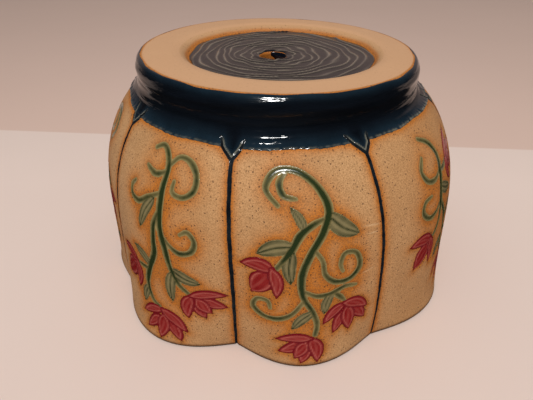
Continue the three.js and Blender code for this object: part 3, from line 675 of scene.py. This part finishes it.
arms = arm_path(LEFT_ARM), arm_path(RIGHT_ARM)
distances, arm_shares = zip(*[distance_to_path(aside, up_surface, path) for path in arms])
arm_distance = np.minimum(*distances)
arm_share = np.where(distances[0] < distances[1], *arm_shares)
arm_half = FORK_ARM_WIDTH / 2 * (1 - 0.6 * arm_share ** 3)
left_side, right_side = (np.interp(up_surface[:, 0], [y for _, y in path],
                                   [x for x, _ in path])[:, None] for path in arms)
in_fork = (aside > left_side) & (aside < right_side) & (up_surface > CLIMB_FORK)
line_distance = np.where(up_surface < CLIMB_FORK, from_seam,
                         np.hypot(from_seam, up_surface - CLIMB_FORK))
wobble = 1 + 0.1 * np.sin(up_surface * 0.55 + 2 * PANEL) + 0.06 * np.sin(up_surface * 1.7)
nearest_seam = (PANEL + (ACROSS > 0)) % PANELS
foot_share = SEAM_FOOT[nearest_seam]
line_half = (SEAM_WIDTH / 2 * wobble * SEAM_BOLDNESS[nearest_seam]
             * (foot_share + (1 - foot_share) * smoothstep(up_surface / 45)))
seam_edge = np.maximum(line_half - line_distance, arm_half - arm_distance)
line_cut = SEAM_DEPTH * np.maximum(0, 1 - (line_distance / line_half) ** 2)
arm_cut = ARM_DEPTH * np.maximum(0, 1 - (arm_distance / arm_half) ** 2)
seam_cut = np.maximum(line_cut, arm_cut)
arm_crest = (np.exp(-((arm_distance - arm_half - 0.28) / 0.28) ** 2) * in_fork
             * smoothstep((1 - arm_share) / 0.25))

# ---------- Edge of the collar's coat

LOW_WAVES = [5, 9, 14, 23]
BEAD_WAVES = [61, 97, 140, 190]

fork_half = np.where(aside < 0, -LEFT_ARM[0][0], RIGHT_ARM[0][0])
valley = FORK_DROP * np.maximum(0, 1 - from_seam / fork_half)
low_edge = (CLIMB_SHOULDER - valley + 0.3 * ripple(angle, LOW_WAVES, 1)
            + 0.08 * ripple(angle, BEAD_WAVES, 2))
top_edge = CLIMB_FOOT - 0.45 + 0.35 * ripple(angle, LOW_WAVES, 3)
above_low = up_surface - low_edge
below_top = top_edge - up_surface
coat_edge = np.minimum(above_low, below_top)

COAT_LEVEL = 0.04
COAT_WAVE = 0.09
LOW_LIP = 0.25
TOP_LIP = 0.07
LIP_REACH = 0.6
held = np.maximum(coat_edge, 0) / LIP_REACH
beaded = 1 + 0.4 * ripple(angle, BEAD_WAVES, 5)
lip = np.where(above_low < below_top, LOW_LIP * beaded, TOP_LIP) * held * np.exp(1 - held)
coat_depth = COAT_LEVEL - np.where(coat_edge > 0, lip, EDGE_DROP * coat_edge)
waves = np.sin(5 * angle + 0.9 * up_surface) + np.sin(8 * angle - 1.7 * up_surface + 1)
coat_depth += COAT_WAVE * waves * smoothstep((coat_edge - 1) / 3)
coat_depth += arm_cut - ARM_CREST * arm_crest * (coat_edge > 0)
clay_recess = COAT_RECESS * smoothstep(coat_edge / 0.9)

depth = np.maximum(depth, seam_cut) + clay_recess

# ---------- How the kiln toasted the clay, and the painted contact shadow at the rim

SEAM_GLOW = 0.85
COAT_GLOW = 0.8
FLASH = 0.16              # one side was toasted more
FLASH_ANGLE = 75
FLASH_SPREAD = 36
CARVING_CHAR = 0.42
SEAM_CHAR = 0.35
RIM_SHADOW_REACH = 2.9            # painted contact shadow: a dark line of the clay at the mouth's rim, where it stands on the table

on_wall = up_surface < (CLIMB_SHOULDER + CLIMB_FOOT) / 2
seam_glow = SEAM_GLOW * fading(seam_edge, 1.7, 1.2)
coat_glow = COAT_GLOW * on_wall * fading(above_low, 1.5, 1.2)
top_glow = COAT_GLOW * ~on_wall * fading(below_top, 0.9, 1.1)
flash = FLASH * on_wall * np.exp(-((np.degrees(angle) - FLASH_ANGLE) / FLASH_SPREAD) ** 2)
for glow in (seam_glow, coat_glow, top_glow, flash):
    toast = 1 - (1 - toast) * (1 - glow)
char = np.maximum(CARVING_CHAR * char, SEAM_CHAR * fading(seam_edge, 0.5, 1.5))
# painted contact shadow: the clay darkens to near black along the mouth's rim
char = np.maximum(char, np.exp(-(up_surface / RIM_SHADOW_REACH) ** 6))

# ---------- Meshes


def make_object(name, vertices, faces, fields, material):
    mesh = bpy.data.meshes.new(name)
    mesh.from_pydata((np.asarray(vertices) * MM).tolist(), [], np.asarray(faces).tolist())
    mesh.update()
    mesh.polygons.foreach_set("use_smooth", np.ones(len(mesh.polygons), bool))
    for field, values in fields.items():
        layer = mesh.attributes.new(field, "FLOAT", "POINT")
        layer.data.foreach_set("value", np.asarray(values, np.float32).ravel())
    mesh.materials.append(material)
    made = bpy.data.objects.new(name, mesh)
    bpy.context.scene.collection.objects.link(made)
    return made


def grid_faces(height, width):
    """Quads of a grid whose columns run round the pot, facing out."""
    index = np.arange(height * width).reshape(height, width)
    after = np.roll(index, -1, 1)
    quads = np.stack([index[:-1], after[:-1], after[1:], index[1:]], -1)
    return quads.reshape(-1, 4)


def closed_skin(name, grid, fields, material):
    """Mesh of a grid whose last row joins its first."""
    height, width = grid.shape[:2]
    ring = np.arange(width)
    end = ring + (height - 1) * width
    closing = np.stack([end, np.roll(end, -1), np.roll(ring, -1), ring], 1)
    faces = np.concatenate([grid_faces(height, width), closing])
    return make_object(name, grid.reshape(-1, 3), faces, fields, material)


def shell(name, surface, direction, keep, fields, material):
    """Closed shell over the grid's cells whose four corners are kept."""
    height, width = keep.shape
    quads = grid_faces(height, width)
    quads = quads[keep.ravel()[quads].all(1)]
    used, flat = np.unique(quads, return_inverse=True)
    quads = flat.reshape(quads.shape)
    top = surface.reshape(-1, 3)[used]
    bottom = top - SHELL_THICKNESS * direction.reshape(-1, 3)[used]
    count = len(used)
    sides = np.concatenate([quads[:, [i, (i + 1) % 4]] for i in range(4)])
    keys = np.sort(sides, 1)
    _, place, times = np.unique(keys, axis=0, return_index=True, return_counts=True)
    border = sides[place[times == 1]]
    walls = np.stack([border[:, 1], border[:, 0], border[:, 0] + count,
                      border[:, 1] + count], 1)
    faces = np.concatenate([quads, quads[:, ::-1] + count, walls])
    doubled = {key: np.tile(value.ravel()[used], 2) for key, value in fields.items()}
    return make_object(name, np.concatenate([top, bottom]), faces, doubled, material)


def hand_over(piece, node):
    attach(piece, "root")
    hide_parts(node)


# ---------- Materials


def linear(red, green, blue):
    """A colour given as 0 to 255 in sRGB, as the linear colour that shaders take."""
    parts = [c / 255 for c in (red, green, blue)]
    return (*[c / 12.92 if c <= 0.04045 else ((c + 0.055) / 1.055) ** 2.4 for c in parts], 1)


class Nodes:
    """Short ways to add nodes to one tree."""

    def __init__(self, tree):
        self.tree = tree

    def add(self, kind, inputs=None, **settings):
        node = self.tree.nodes.new(kind)
        for key, value in settings.items():
            setattr(node, key, value)
        for key, value in (inputs or {}).items():
            self.set(node.inputs[key], value)
        return node

    def set(self, socket, value):
        if isinstance(value, bpy.types.NodeSocket):
            self.tree.links.new(value, socket)
        else:
            socket.default_value = value

    def math(self, operation, first, second=0.0, clamp=False):
        node = self.add("ShaderNodeMath", {0: first, 1: second}, operation=operation,
                        use_clamp=clamp)
        return node.outputs[0]

    def ramp(self, value, low, high, start=0.0, end=1.0):
        inputs = {"Value": value, "From Min": low, "From Max": high, "To Min": start,
                  "To Max": end}
        return self.add("ShaderNodeMapRange", inputs).outputs["Result"]

    def mix(self, factor, first, second):
        node = self.add("ShaderNodeMix", data_type="RGBA")
        for socket, value in zip((node.inputs[0], node.inputs[6], node.inputs[7]),
                                 (factor, first, second)):
            self.set(socket, value)
        return node.outputs[2]


class Shader(Nodes):
    """Nodes of one material."""

    def __init__(self, name):
        self.material = bpy.data.materials.new(name)
        self.material.use_nodes = True
        super().__init__(self.material.node_tree)
        self.out = self.tree.nodes["Principled BSDF"]
        self.place = self.add("ShaderNodeTexCoord").outputs["Object"]

    def field(self, name):
        return self.add("ShaderNodeAttribute", attribute_name=name).outputs["Fac"]

    def stretched(self, scale):
        return self.add("ShaderNodeMapping", {"Vector": self.place, "Scale": scale}).outputs[0]

    def noise(self, scale, detail=3.0, roughness=0.55, vector=None):
        inputs = {"Vector": vector or self.place, "Scale": scale, "Detail": detail,
                  "Roughness": roughness}
        return self.add("ShaderNodeTexNoise", inputs).outputs["Fac"]

    def shades(self, value, low, high, first, second):
        """Goes from one colour to another as the value goes from low to high."""
        return self.mix(self.ramp(value, low, high), linear(*first), linear(*second))

    def over(self, colour, mask, strength, tint):
        """Lays a tint over a colour where a mask shows it."""
        return self.mix(self.math("MULTIPLY", mask, strength), colour, linear(*tint))

    def specks(self, scale, size, share):
        """Round spots: one to a cell, in the given share of the cells."""
        cells = self.add("ShaderNodeTexVoronoi", {"Vector": self.place, "Scale": scale})
        random = self.add("ShaderNodeSeparateColor", {"Color": cells.outputs["Color"]})
        radius = self.math("MULTIPLY", random.outputs["Red"], size)
        chosen = self.math("LESS_THAN", random.outputs["Green"], share)
        reach = self.math("SUBTRACT", radius, cells.outputs["Distance"])
        spot = self.ramp(reach, -0.04, 0.06)
        return self.math("MULTIPLY", spot, chosen)

    def bump(self, height, distance, strength=1.0, onto=None):
        inputs = {"Height": height, "Distance": distance * MM, "Strength": strength}
        if onto is not None:
            inputs["Normal"] = onto
        return self.add("ShaderNodeBump", inputs).outputs["Normal"]

    def finish_glaze(self, colour, cloud, glossiest, dullest, normal):
        return self.finish(colour, self.ramp(cloud, 0.3, 0.7, glossiest, dullest), normal)

    def finish(self, colour, roughness, normal=None):
        self.set(self.out.inputs["Base Color"], colour)
        self.set(self.out.inputs["Roughness"], roughness)
        if normal is not None:
            self.set(self.out.inputs["Normal"], normal)
        return self.material


def clay_material():
    s = Shader("toasted_clay")
    toasted = s.field("toast")
    smooth = s.field("paler")
    rough_skin = s.math("SUBTRACT", 1.0, s.math("MULTIPLY", smooth, 0.74))
    cloud = s.noise(38, 4)
    grain = s.noise(1900, 1, 0.8)
    colour = s.shades(cloud, 0.35, 0.68, (198, 152, 103), (182, 136, 88))
    patchy = s.math("MULTIPLY", toasted, s.ramp(s.noise(130, 3), 0.25, 0.7, 0.78, 1.15), True)
    colour = s.mix(s.ramp(patchy, 0, 0.65, 0, 0.98), colour, linear(192, 110, 8))
    shade = s.mix(toasted, linear(146, 104, 60), linear(112, 62, 18))
    graininess = s.math("MULTIPLY", s.ramp(grain, 0.4, 0.66, 0, 0.7), rough_skin)
    colour = s.mix(graininess, colour, shade)
    colour = s.over(colour, smooth, 0.8, (202, 155, 116))
    colour = s.over(colour, s.field("scratch"), 0.45, (232, 200, 156))
    # the char field holds the charred line at glaze edges and the painted contact shadow at the
    # rim; only the shadow reaches the near-black end
    char_and_shadow = s.shades(s.field("char"), 0.6, 0.95, (104, 58, 14), (34, 20, 12))
    colour = s.mix(s.math("MULTIPLY", s.field("char"), 0.9), colour, char_and_shadow)
    fine = s.math("MULTIPLY", s.specks(900, 0.3, 0.8), rough_skin)
    colour = s.over(colour, fine, s.ramp(toasted, 0, 1, 0.75, 1), (84, 50, 22))
    coarse = s.math("MULTIPLY", s.specks(420, 0.14, 0.5), rough_skin)
    colour = s.over(colour, coarse, 0.7, (60, 36, 18))
    big = s.math("MULTIPLY", s.specks(110, 0.045, 0.2), rough_skin)
    colour = s.over(colour, big, 0.85, (44, 28, 18))
    rough = s.ramp(s.math("ADD", grain, s.math("MULTIPLY", toasted, -0.35)), 0, 1, 0.6, 0.9)
    drag = s.noise(60, 3, 0.6, s.stretched((1, 1, 16)))
    height = s.math("ADD", s.math("MULTIPLY", grain, 0.9), s.math("MULTIPLY", drag, 0.5))
    height = s.math("SUBTRACT", height, s.math("MULTIPLY", fine, 0.6))
    normal = s.bump(height, 0.14, 0.9)
    return s.finish(colour, rough, normal)


def navy_material():
    s = Shader("navy_glaze")
    cloud = s.noise(90, 4)
    streak = s.noise(26, 4, 0.6, s.stretched((1, 1, 9)))
    body = s.shades(streak, 0.35, 0.7, (5, 7, 11), (12, 17, 24))
    shade = s.mix(cloud, linear(18, 33, 44), linear(32, 50, 62))
    veil = s.math("MULTIPLY", s.field("thin"), s.ramp(cloud, 0.2, 0.75, 0.55, 1.15), True)
    colour = s.mix(veil, body, shade)
    # crest: paler glaze breaking over the fork arms' crests, plus the painted reflection along the
    # coat's lower edge
    colour = s.over(colour, s.field("crest"), 0.7, (150, 146, 126))
    normal = s.bump(s.noise(160, 2), 0.05, 0.5, s.bump(streak, 0.5))
    return s.finish_glaze(colour, cloud, 0.05, 0.1, normal)


def well_material():
    s = Shader("well_glaze")
    colour = s.shades(s.noise(70, 4, 0.6), 0.35, 0.7, (18, 19, 25), (36, 32, 34))
    colour = s.over(colour, s.field("crest"), 0.85, (148, 134, 120))
    colour = s.mix(s.field("pool"), colour, linear(10, 15, 24))
    normal = s.bump(s.noise(240, 3), 0.06, 0.6)
    return s.finish_glaze(colour, s.noise(220, 3), 0.08, 0.18, normal)


def green_material():
    s = Shader("green_glaze")
    cloud = s.noise(260, 3)
    uneven = s.math("MULTIPLY", s.math("SUBTRACT", cloud, 0.5), 0.5)
    deep = s.math("ADD", s.field("pool"), uneven)
    leaf = s.shades(deep, 0.1, 0.72, (130, 118, 82), (44, 50, 26))
    stem = s.shades(deep, 0.05, 0.8, (150, 132, 86), (38, 50, 24))
    colour = s.mix(s.field("leaf"), stem, leaf)
    return s.finish_glaze(colour, cloud, 0.14, 0.26, s.bump(s.noise(500, 2), 0.05, 0.6))


def red_material():
    s = Shader("red_glaze")
    cloud = s.noise(300, 3)
    streak = s.ramp(s.field("streak"), -0.2, 1, 0, 0.36)
    colour = s.shades(cloud, 0.3, 0.7, (124, 15, 18), (140, 26, 25))
    colour = s.mix(streak, colour, linear(174, 86, 76))
    colour = s.over(colour, s.field("rim"), 0.45, (204, 122, 108))
    colour = s.over(colour, s.field("line"), 0.95, (106, 3, 20))
    return s.finish_glaze(colour, cloud, 0.22, 0.36, s.bump(s.noise(420, 3), 0.06, 0.7))


def seam_material():
    s = Shader("seam_glaze")
    cloud = s.noise(240, 3)
    colour = s.shades(cloud, 0.35, 0.75, (12, 15, 20), (30, 38, 44))
    colour = s.mix(s.ramp(s.field("pool"), 0.0, 0.3, 0.55, 0), colour, linear(70, 66, 58))
    return s.finish_glaze(colour, cloud, 0.1, 0.2, s.bump(s.noise(420, 2), 0.05, 0.6))


CLAY = clay_material()
NAVY = navy_material()
WELL = well_material()
GREEN = green_material()
RED = red_material()
SEAM = seam_material()

# ---------- Body

SLOPE_ROWS = 12
WELL_ROWS = 4
DRAIN_ROWS = 6
INNER_WALL_ROWS = 14
CEILING = FOOT_HEIGHT - WELL_DEPTH - FLOOR
INNER_SHOULDER = CEILING - INNER_SHOULDER_DROP
COAT_SEAT = FOOT_HEIGHT - WELL_DEPTH - 0.6      # clay under the well's coat
SLOPE_ROUND = 1.6
DRAIN_CHAR = 0.45


def quadratic(start, corner, end, count):
    t = np.linspace(0, 1, count + 1)[1:]
    return [tuple((1 - u) ** 2 * np.array(start) + 2 * u * (1 - u) * np.array(corner)
                  + u * u * np.array(end)) for u in t]


body_rows = list(outside - depth[..., None] * normals)
paler = np.zeros(shape)
paler[LAST_EDGE_ROW + 1:] = 1          # the bare standing face
body_fields = {"toast": list(toast), "paler": list(paler), "char": list(char),
               "scratch": list(scratch)}


def add_inner(points, warmth, pale=0, char_and_shadow=0):
    body_rows.append(points)
    for field, value in zip(body_fields.values(), (warmth, pale, char_and_shadow, 0)):
        field.append(np.full(COLUMNS, value, float))


WELL_EDGE_WAVE = 0.55 * ripple(COLLAR_ANGLE, [3, 5, 8, 13], 7)
foot_lip = (FOOT_INNER_RADIUS, FOOT_HEIGHT - FOOT_WEAR)
slope_foot = (WELL_RADIUS + 0.2, COAT_SEAT)
bend = (FOOT_INNER_RADIUS - SLOPE_ROUND, FOOT_HEIGHT - FOOT_WEAR - 0.45)
slope = quadratic(foot_lip, bend, slope_foot, SLOPE_ROWS)
for radius, z in slope:
    low = (FOOT_HEIGHT - z) / (FOOT_HEIGHT - COAT_SEAT)
    warmth = smoothstep((low - 0.42 + 0.1 * WELL_EDGE_WAVE) / 0.5)
    add_inner(well_row(radius, z, 1), 0.95 * warmth, 0.8 * (1 - low))
for share in np.linspace(0, 1, WELL_ROWS + 1)[1:]:
    radius = slope_foot[0] + (DRAIN_RADIUS - slope_foot[0]) * share
    add_inner(well_row(radius, COAT_SEAT, 1, between_centres(1 - share)), 1)
for share in np.linspace(0, 1, DRAIN_ROWS + 1)[1:]:
    z = COAT_SEAT + (CEILING - COAT_SEAT) * share
    add_inner(well_row(DRAIN_RADIUS, z, 1, DRAIN_SHIFT), 1, char_and_shadow=DRAIN_CHAR)
ceiling_edge = well_row(CEILING_RADIUS, CEILING, 0)
drain_foot = body_rows[-1]
for share in (0.3, 0.65, 1):
    add_inner(drain_foot + (ceiling_edge - drain_foot) * share, 0.4)


def inner_radius(z):
    thick = WALL * np.hypot(1, np.gradient(seam_radius(np.array([z - 0.5, z + 0.5])))[0])
    return wall_radius(PANEL, ACROSS, z) - thick


start = inner_radius(INNER_SHOULDER)
inner_angle = panel_angle(PANEL, ACROSS, INNER_SHOULDER)
for share in (0.75, 0.5, 0.25, 0):
    turn = share * np.pi / 2
    radius = CEILING_RADIUS + (start - CEILING_RADIUS) * np.cos(turn)
    z = INNER_SHOULDER + INNER_SHOULDER_DROP * np.sin(turn)
    add_inner(polar(inner_angle, radius, z), 0.25)
for z in np.linspace(INNER_SHOULDER, 0, INNER_WALL_ROWS)[1:]:
    add_inner(polar(panel_angle(PANEL, ACROSS, z), inner_radius(z), z), 0.2)

body = closed_skin("clay_body", np.array(body_rows), body_fields, CLAY)
hand_over(body, "stoneware_body")

# ---------- Coat of the collar

coat_thin = 0.95 * fading(-above_low, 4.6, 2) + 0.8 * fading(-below_top, 2.3, 2)
coat_thin = np.clip(coat_thin, 0, 1)
# painted reflection: a pale, broken line along the coat's lower edge, stronger on the right, stands
# for the glossy bead mirroring the pale table and backdrop
glint_breaks = np.clip(0.6 + 0.5 * ripple(angle, BEAD_WAVES, 6), 0, 1)
glint_side = 0.3 + 0.5 * between(np.degrees(angle), 15, 60)
edge_glint = on_wall * np.exp(-((above_low - 0.5) / 0.45) ** 2) * glint_breaks * glint_side
coat_crest_and_glint = np.clip(0.8 * arm_crest + edge_glint, 0, 1)
coat = shell("collar_coat", outside - coat_depth[..., None] * normals, normals,
             coat_edge > -FADE, {"thin": coat_thin, "crest": coat_crest_and_glint}, NAVY)
hand_over(coat, "collar_glaze_coat")

# ---------- Seam lines

seam_fill = GLAZE_SKIN + np.where(seam_edge > 0, SEAM_FILL * seam_cut, EDGE_DROP * seam_edge)
under_coat = np.where(coat_edge > 0, np.minimum(coat_depth - arm_cut, 0), 0)
seam_depth = np.where(coat_edge > 0, seam_cut + under_coat, seam_cut) - seam_fill
seam_surface = outside - seam_depth[..., None] * normals
for seam in range(PANELS):
    keep = (seam_edge > -FADE) & (nearest_seam == seam) & (up_surface > 0.4)
    line = shell(f"seam_{seam + 1}", seam_surface, normals, keep, {"pool": seam_cut}, SEAM)
    hand_over(line, f"seam_line_{seam + 1}")

# ---------- Vines and blossoms

for number, carving in enumerate(carvings, 1):
    edge = alone(carving, carving.vine_edge, NO_EDGE)
    cut = alone(carving, carving.depth)
    fill = GLAZE_SKIN + np.where(edge > 0, VINE_FILL * cut, EDGE_DROP * edge)
    fields = {"pool": alone(carving, carving.pool), "leaf": alone(carving, carving.leaf)}
    vine = shell(f"vine_inlay_{number}", outside - (cut - fill)[..., None] * normals, normals,
                 edge > -FADE, fields, GREEN)
    hand_over(vine, f"vine_{number}")
    for letter, flower in zip("abc", carving.blossoms):
        edge = alone(carving, flower.pop("edge"), NO_EDGE)
        fields = {field: alone(carving, values) for field, values in flower.items()}
        level = PETAL_LEVEL + 0.16 * fields["line"] + 0.9 * np.maximum(-edge, 0)
        petals = shell(f"petals_{number}_{letter}", outside - level[..., None] * normals,
                       normals, edge > -FADE, fields, RED)
        hand_over(petals, f"blossom_{number}_{letter}")

# ---------- Coat of the foot well

COAT_COLUMNS = 420
COAT_ROWS = 120
COAT_SINK = 0.35           # how far the coat lies below the well's named depth
DRAIN_LIP = 1.5
LIP_RISE = 0.3
LIP_DIP = 0.3
EDGE_REACH = 1.2
EDGE_DIP = 0.55
RING_HEIGHT = 0.6
RUN_TURN = 2.2             # glaze ran into the drain on this side
RUN_SPREAD = 0.9
RUN_LENGTH = 6.5
RUN_THICKNESS = 0.5

turns = np.linspace(0, 2 * np.pi, COAT_COLUMNS, endpoint=False)
shares = np.linspace(0, 1, COAT_ROWS)[:, None]
edge_radius = WELL_RADIUS + 0.5 * ripple(turns, [3, 5, 8, 13], 7)
drain_edge = DRAIN_RADIUS + 0.15 + 0.2 * ripple(turns, [2, 3, 5], 8)
ran = np.exp(-((turns - RUN_TURN) / RUN_SPREAD) ** 2)
radius = drain_edge + (edge_radius - drain_edge) * shares
wander = (0.55 * ripple(turns, [2, 3, 5], 9) * shares
          + 0.35 * np.sin(3 * turns + 9 * shares) + 0.25 * np.sin(7 * turns - 14 * shares)
          + 0.3 * np.sin(5 * turns + 17 * shares) + 0.12 * np.sin(11 * turns - 23 * shares))
phase = shares * THROWING_RINGS + wander * 0.5 + turns / (2 * np.pi)
fold = np.abs(np.sin(np.pi * phase))
crests = (1 - fold) ** 3.2
patch = 0.55 + 0.45 * np.sin(2.3 * turns + 5 * shares * np.pi) * np.sin(5 * turns + 2)
crests = crests * np.clip(patch + 0.3, 0.3, 1)
inner = (radius - drain_edge) / DRAIN_LIP
outer = (edge_radius - radius) / EDGE_REACH
height = RING_HEIGHT * crests * smoothstep(inner - 0.4) * smoothstep(outer)
height -= LIP_DIP * np.maximum(0, 1 - inner) ** 2 + EDGE_DIP * np.maximum(0, 1 - outer) ** 2
height += LIP_RISE * np.exp(-((inner - 1.1) / 0.7) ** 2)
z = FOOT_HEIGHT - WELL_DEPTH - COAT_SINK + height
points = polar(np.broadcast_to(turns, radius.shape), radius, z)
points[..., :2] += between_centres(shares[..., None])
run_radius = DRAIN_RADIUS + 0.1 - RUN_THICKNESS * ran
run_top = polar(turns, run_radius, z[0] - 0.1)
run = polar(turns, run_radius, z[0] - 0.5 - RUN_LENGTH * ran)
run_foot = polar(turns, drain_edge + 0.3, COAT_SEAT - 0.6 - RUN_LENGTH * ran)
lower = np.stack([run_top, run, run_foot, points[-1]])
lower[:3, :, :2] += DRAIN_SHIFT
lower[3, :, 2] = COAT_SEAT - 0.3
skin = on_foot(np.concatenate([points[::-1], lower]))
edge_pool = np.exp(-(outer / 1.5) ** 2) * (0.55 + 0.9 * ripple(turns, [3, 4, 7], 10))
pool = np.maximum(np.clip(edge_pool, 0, 1), 0.5 * np.exp(-((inner - 0.2) / 0.5) ** 2))
crest_field = np.concatenate([crests[::-1], np.zeros((len(lower), COAT_COLUMNS))])
pool_field = np.concatenate([pool[::-1], np.ones((len(lower), COAT_COLUMNS))])
well = closed_skin("well_coat", skin, {"crest": crest_field, "pool": pool_field}, WELL)
hand_over(well, "foot_well_glaze_coat")

# ---------- Camera

IMAGE_WIDTH = 533
SENSOR = 36
FOCAL_PIXELS = 447.43
CAMERA_PLACE = Vector((0, -213.19, 160.99)) * MM
PITCH = 0.5732
YAW = -0.0307
ROLL = -0.0185

forward = Vector((math.sin(YAW) * math.cos(PITCH), math.cos(YAW) * math.cos(PITCH),
                  -math.sin(PITCH)))
level = Vector((math.cos(YAW), -math.sin(YAW), 0))
upright = level.cross(forward)
right = math.cos(ROLL) * level + math.sin(ROLL) * upright
above = math.cos(ROLL) * upright - math.sin(ROLL) * level
camera_data = bpy.data.cameras.new("camera")
camera_data.lens = FOCAL_PIXELS / IMAGE_WIDTH * SENSOR
camera_data.sensor_width = SENSOR
camera_data.clip_start = 0.01
camera = bpy.data.objects.new("camera", camera_data)
camera.matrix_world = Matrix((right, above, -forward)).transposed().to_4x4()
camera.location = CAMERA_PLACE
bpy.context.scene.collection.objects.link(camera)
bpy.context.scene.camera = camera

# ---------- Table, wall and light

WALL_LEFT = Vector((-248.9, 152.5, 0)) * MM
WALL_RIGHT = Vector((200.4, 107.8, 0)) * MM
FLOOR_REACH = 2500
# painted light: the table is painted lighter from TABLE_NEAR to TABLE_FAR, to even out the key
# light's falloff
TABLE_COLOUR = (225, 203, 192)
TABLE_FAR_PAINTED_LIGHT_COLOUR = (238, 215, 203)
TABLE_NEAR = -120
TABLE_FAR = 60
BACKDROP_COLOUR = (226, 194, 178)
MIRRORED_DARK = (26, 20, 18)
MIRROR_FROM = 115          # what a glaze mirrors of the floor is dark in front of this
MIRROR_TO = 150


def floor_material(across, edge):
    """Pale table as far as an edge, and the backdrop's darker paint past it."""
    s = Shader("pale_floor")
    split = s.add("ShaderNodeSeparateXYZ", {"Vector": s.place})
    x, y = split.outputs["X"], split.outputs["Y"]
    past = s.math("ADD", s.math("MULTIPLY", x, across.x), s.math("MULTIPLY", y, across.y))
    beyond = s.ramp(past, edge - MM, edge + MM)
    # painted light: lighter towards the back, making up for the key light's falloff
    table_with_painted_light = s.shades(y, TABLE_NEAR * MM, TABLE_FAR * MM, TABLE_COLOUR, TABLE_FAR_PAINTED_LIGHT_COLOUR)
    shade = s.mix(beyond, table_with_painted_light, linear(*BACKDROP_COLOUR))
    soft = s.ramp(s.noise(6, 3), 0.3, 0.7, 0, 0.06)
    shade = s.mix(soft, shade, linear(190, 160, 144))
    dark = s.ramp(y, MIRROR_TO * MM, MIRROR_FROM * MM)
    mirrored = s.add("ShaderNodeLightPath").outputs["Is Glossy Ray"]
    shade = s.mix(s.math("MULTIPLY", dark, mirrored), shade, linear(*MIRRORED_DARK))
    return s.finish(shade, 0.6)


along = (WALL_RIGHT - WALL_LEFT).normalized()
back = Vector((-along.y, along.x, 0))
corners = [(-FLOOR_REACH, -FLOOR_REACH, 0), (FLOOR_REACH, -FLOOR_REACH, 0),
           (FLOOR_REACH, FLOOR_REACH, 0), (-FLOOR_REACH, FLOOR_REACH, 0)]
floor = make_object("floor", corners, [(0, 1, 2, 3)], {},
                    floor_material(back, back.dot(WALL_LEFT)))

KEY_PLACE = Vector((-10, -620, 900)) * MM
KEY_TARGET = Vector((0, 0, 80)) * MM
KEY_SIZE = 240 * MM, 120 * MM

lamp = bpy.data.lights.new("key", "AREA")
lamp.shape = "RECTANGLE"
lamp.size, lamp.size_y = KEY_SIZE
lamp.energy = 7
lamp.color = (1, 0.99, 0.97)
key = bpy.data.objects.new("key", lamp)
key.location = KEY_PLACE
key.rotation_euler = (KEY_TARGET - KEY_PLACE).to_track_quat("-Z", "Y").to_euler()
bpy.context.scene.collection.objects.link(key)

ROOM_LIGHT = (0.47, 0.47, 0.47, 1)
ROOM_MIRRORED = (0.012, 0.009, 0.008, 1)
BACK_MIRRORED = (0.32, 0.235, 0.205, 1)
BACK_FROM = 0.45           # how far a direction points to the back
BACK_TO = 0.95

world = bpy.data.worlds.new("room")
world.use_nodes = True
bpy.context.scene.world = world
sky = Nodes(world.node_tree)
direction = sky.add("ShaderNodeTexCoord").outputs["Generated"]
split = sky.add("ShaderNodeSeparateXYZ", {"Vector": direction})
to_back = sky.add("ShaderNodeMapRange", {"Value": split.outputs["Y"], "From Min": BACK_FROM,
                                         "From Max": BACK_TO}, interpolation_type="SMOOTHSTEP")
mirrored = sky.mix(to_back.outputs["Result"], ROOM_MIRRORED, BACK_MIRRORED)
glossy_ray = sky.add("ShaderNodeLightPath").outputs["Is Glossy Ray"]
sky.set(sky.tree.nodes["Background"].inputs["Color"], sky.mix(glossy_ray, ROOM_LIGHT, mirrored))
bpy.context.scene.view_settings.view_transform = "Standard"
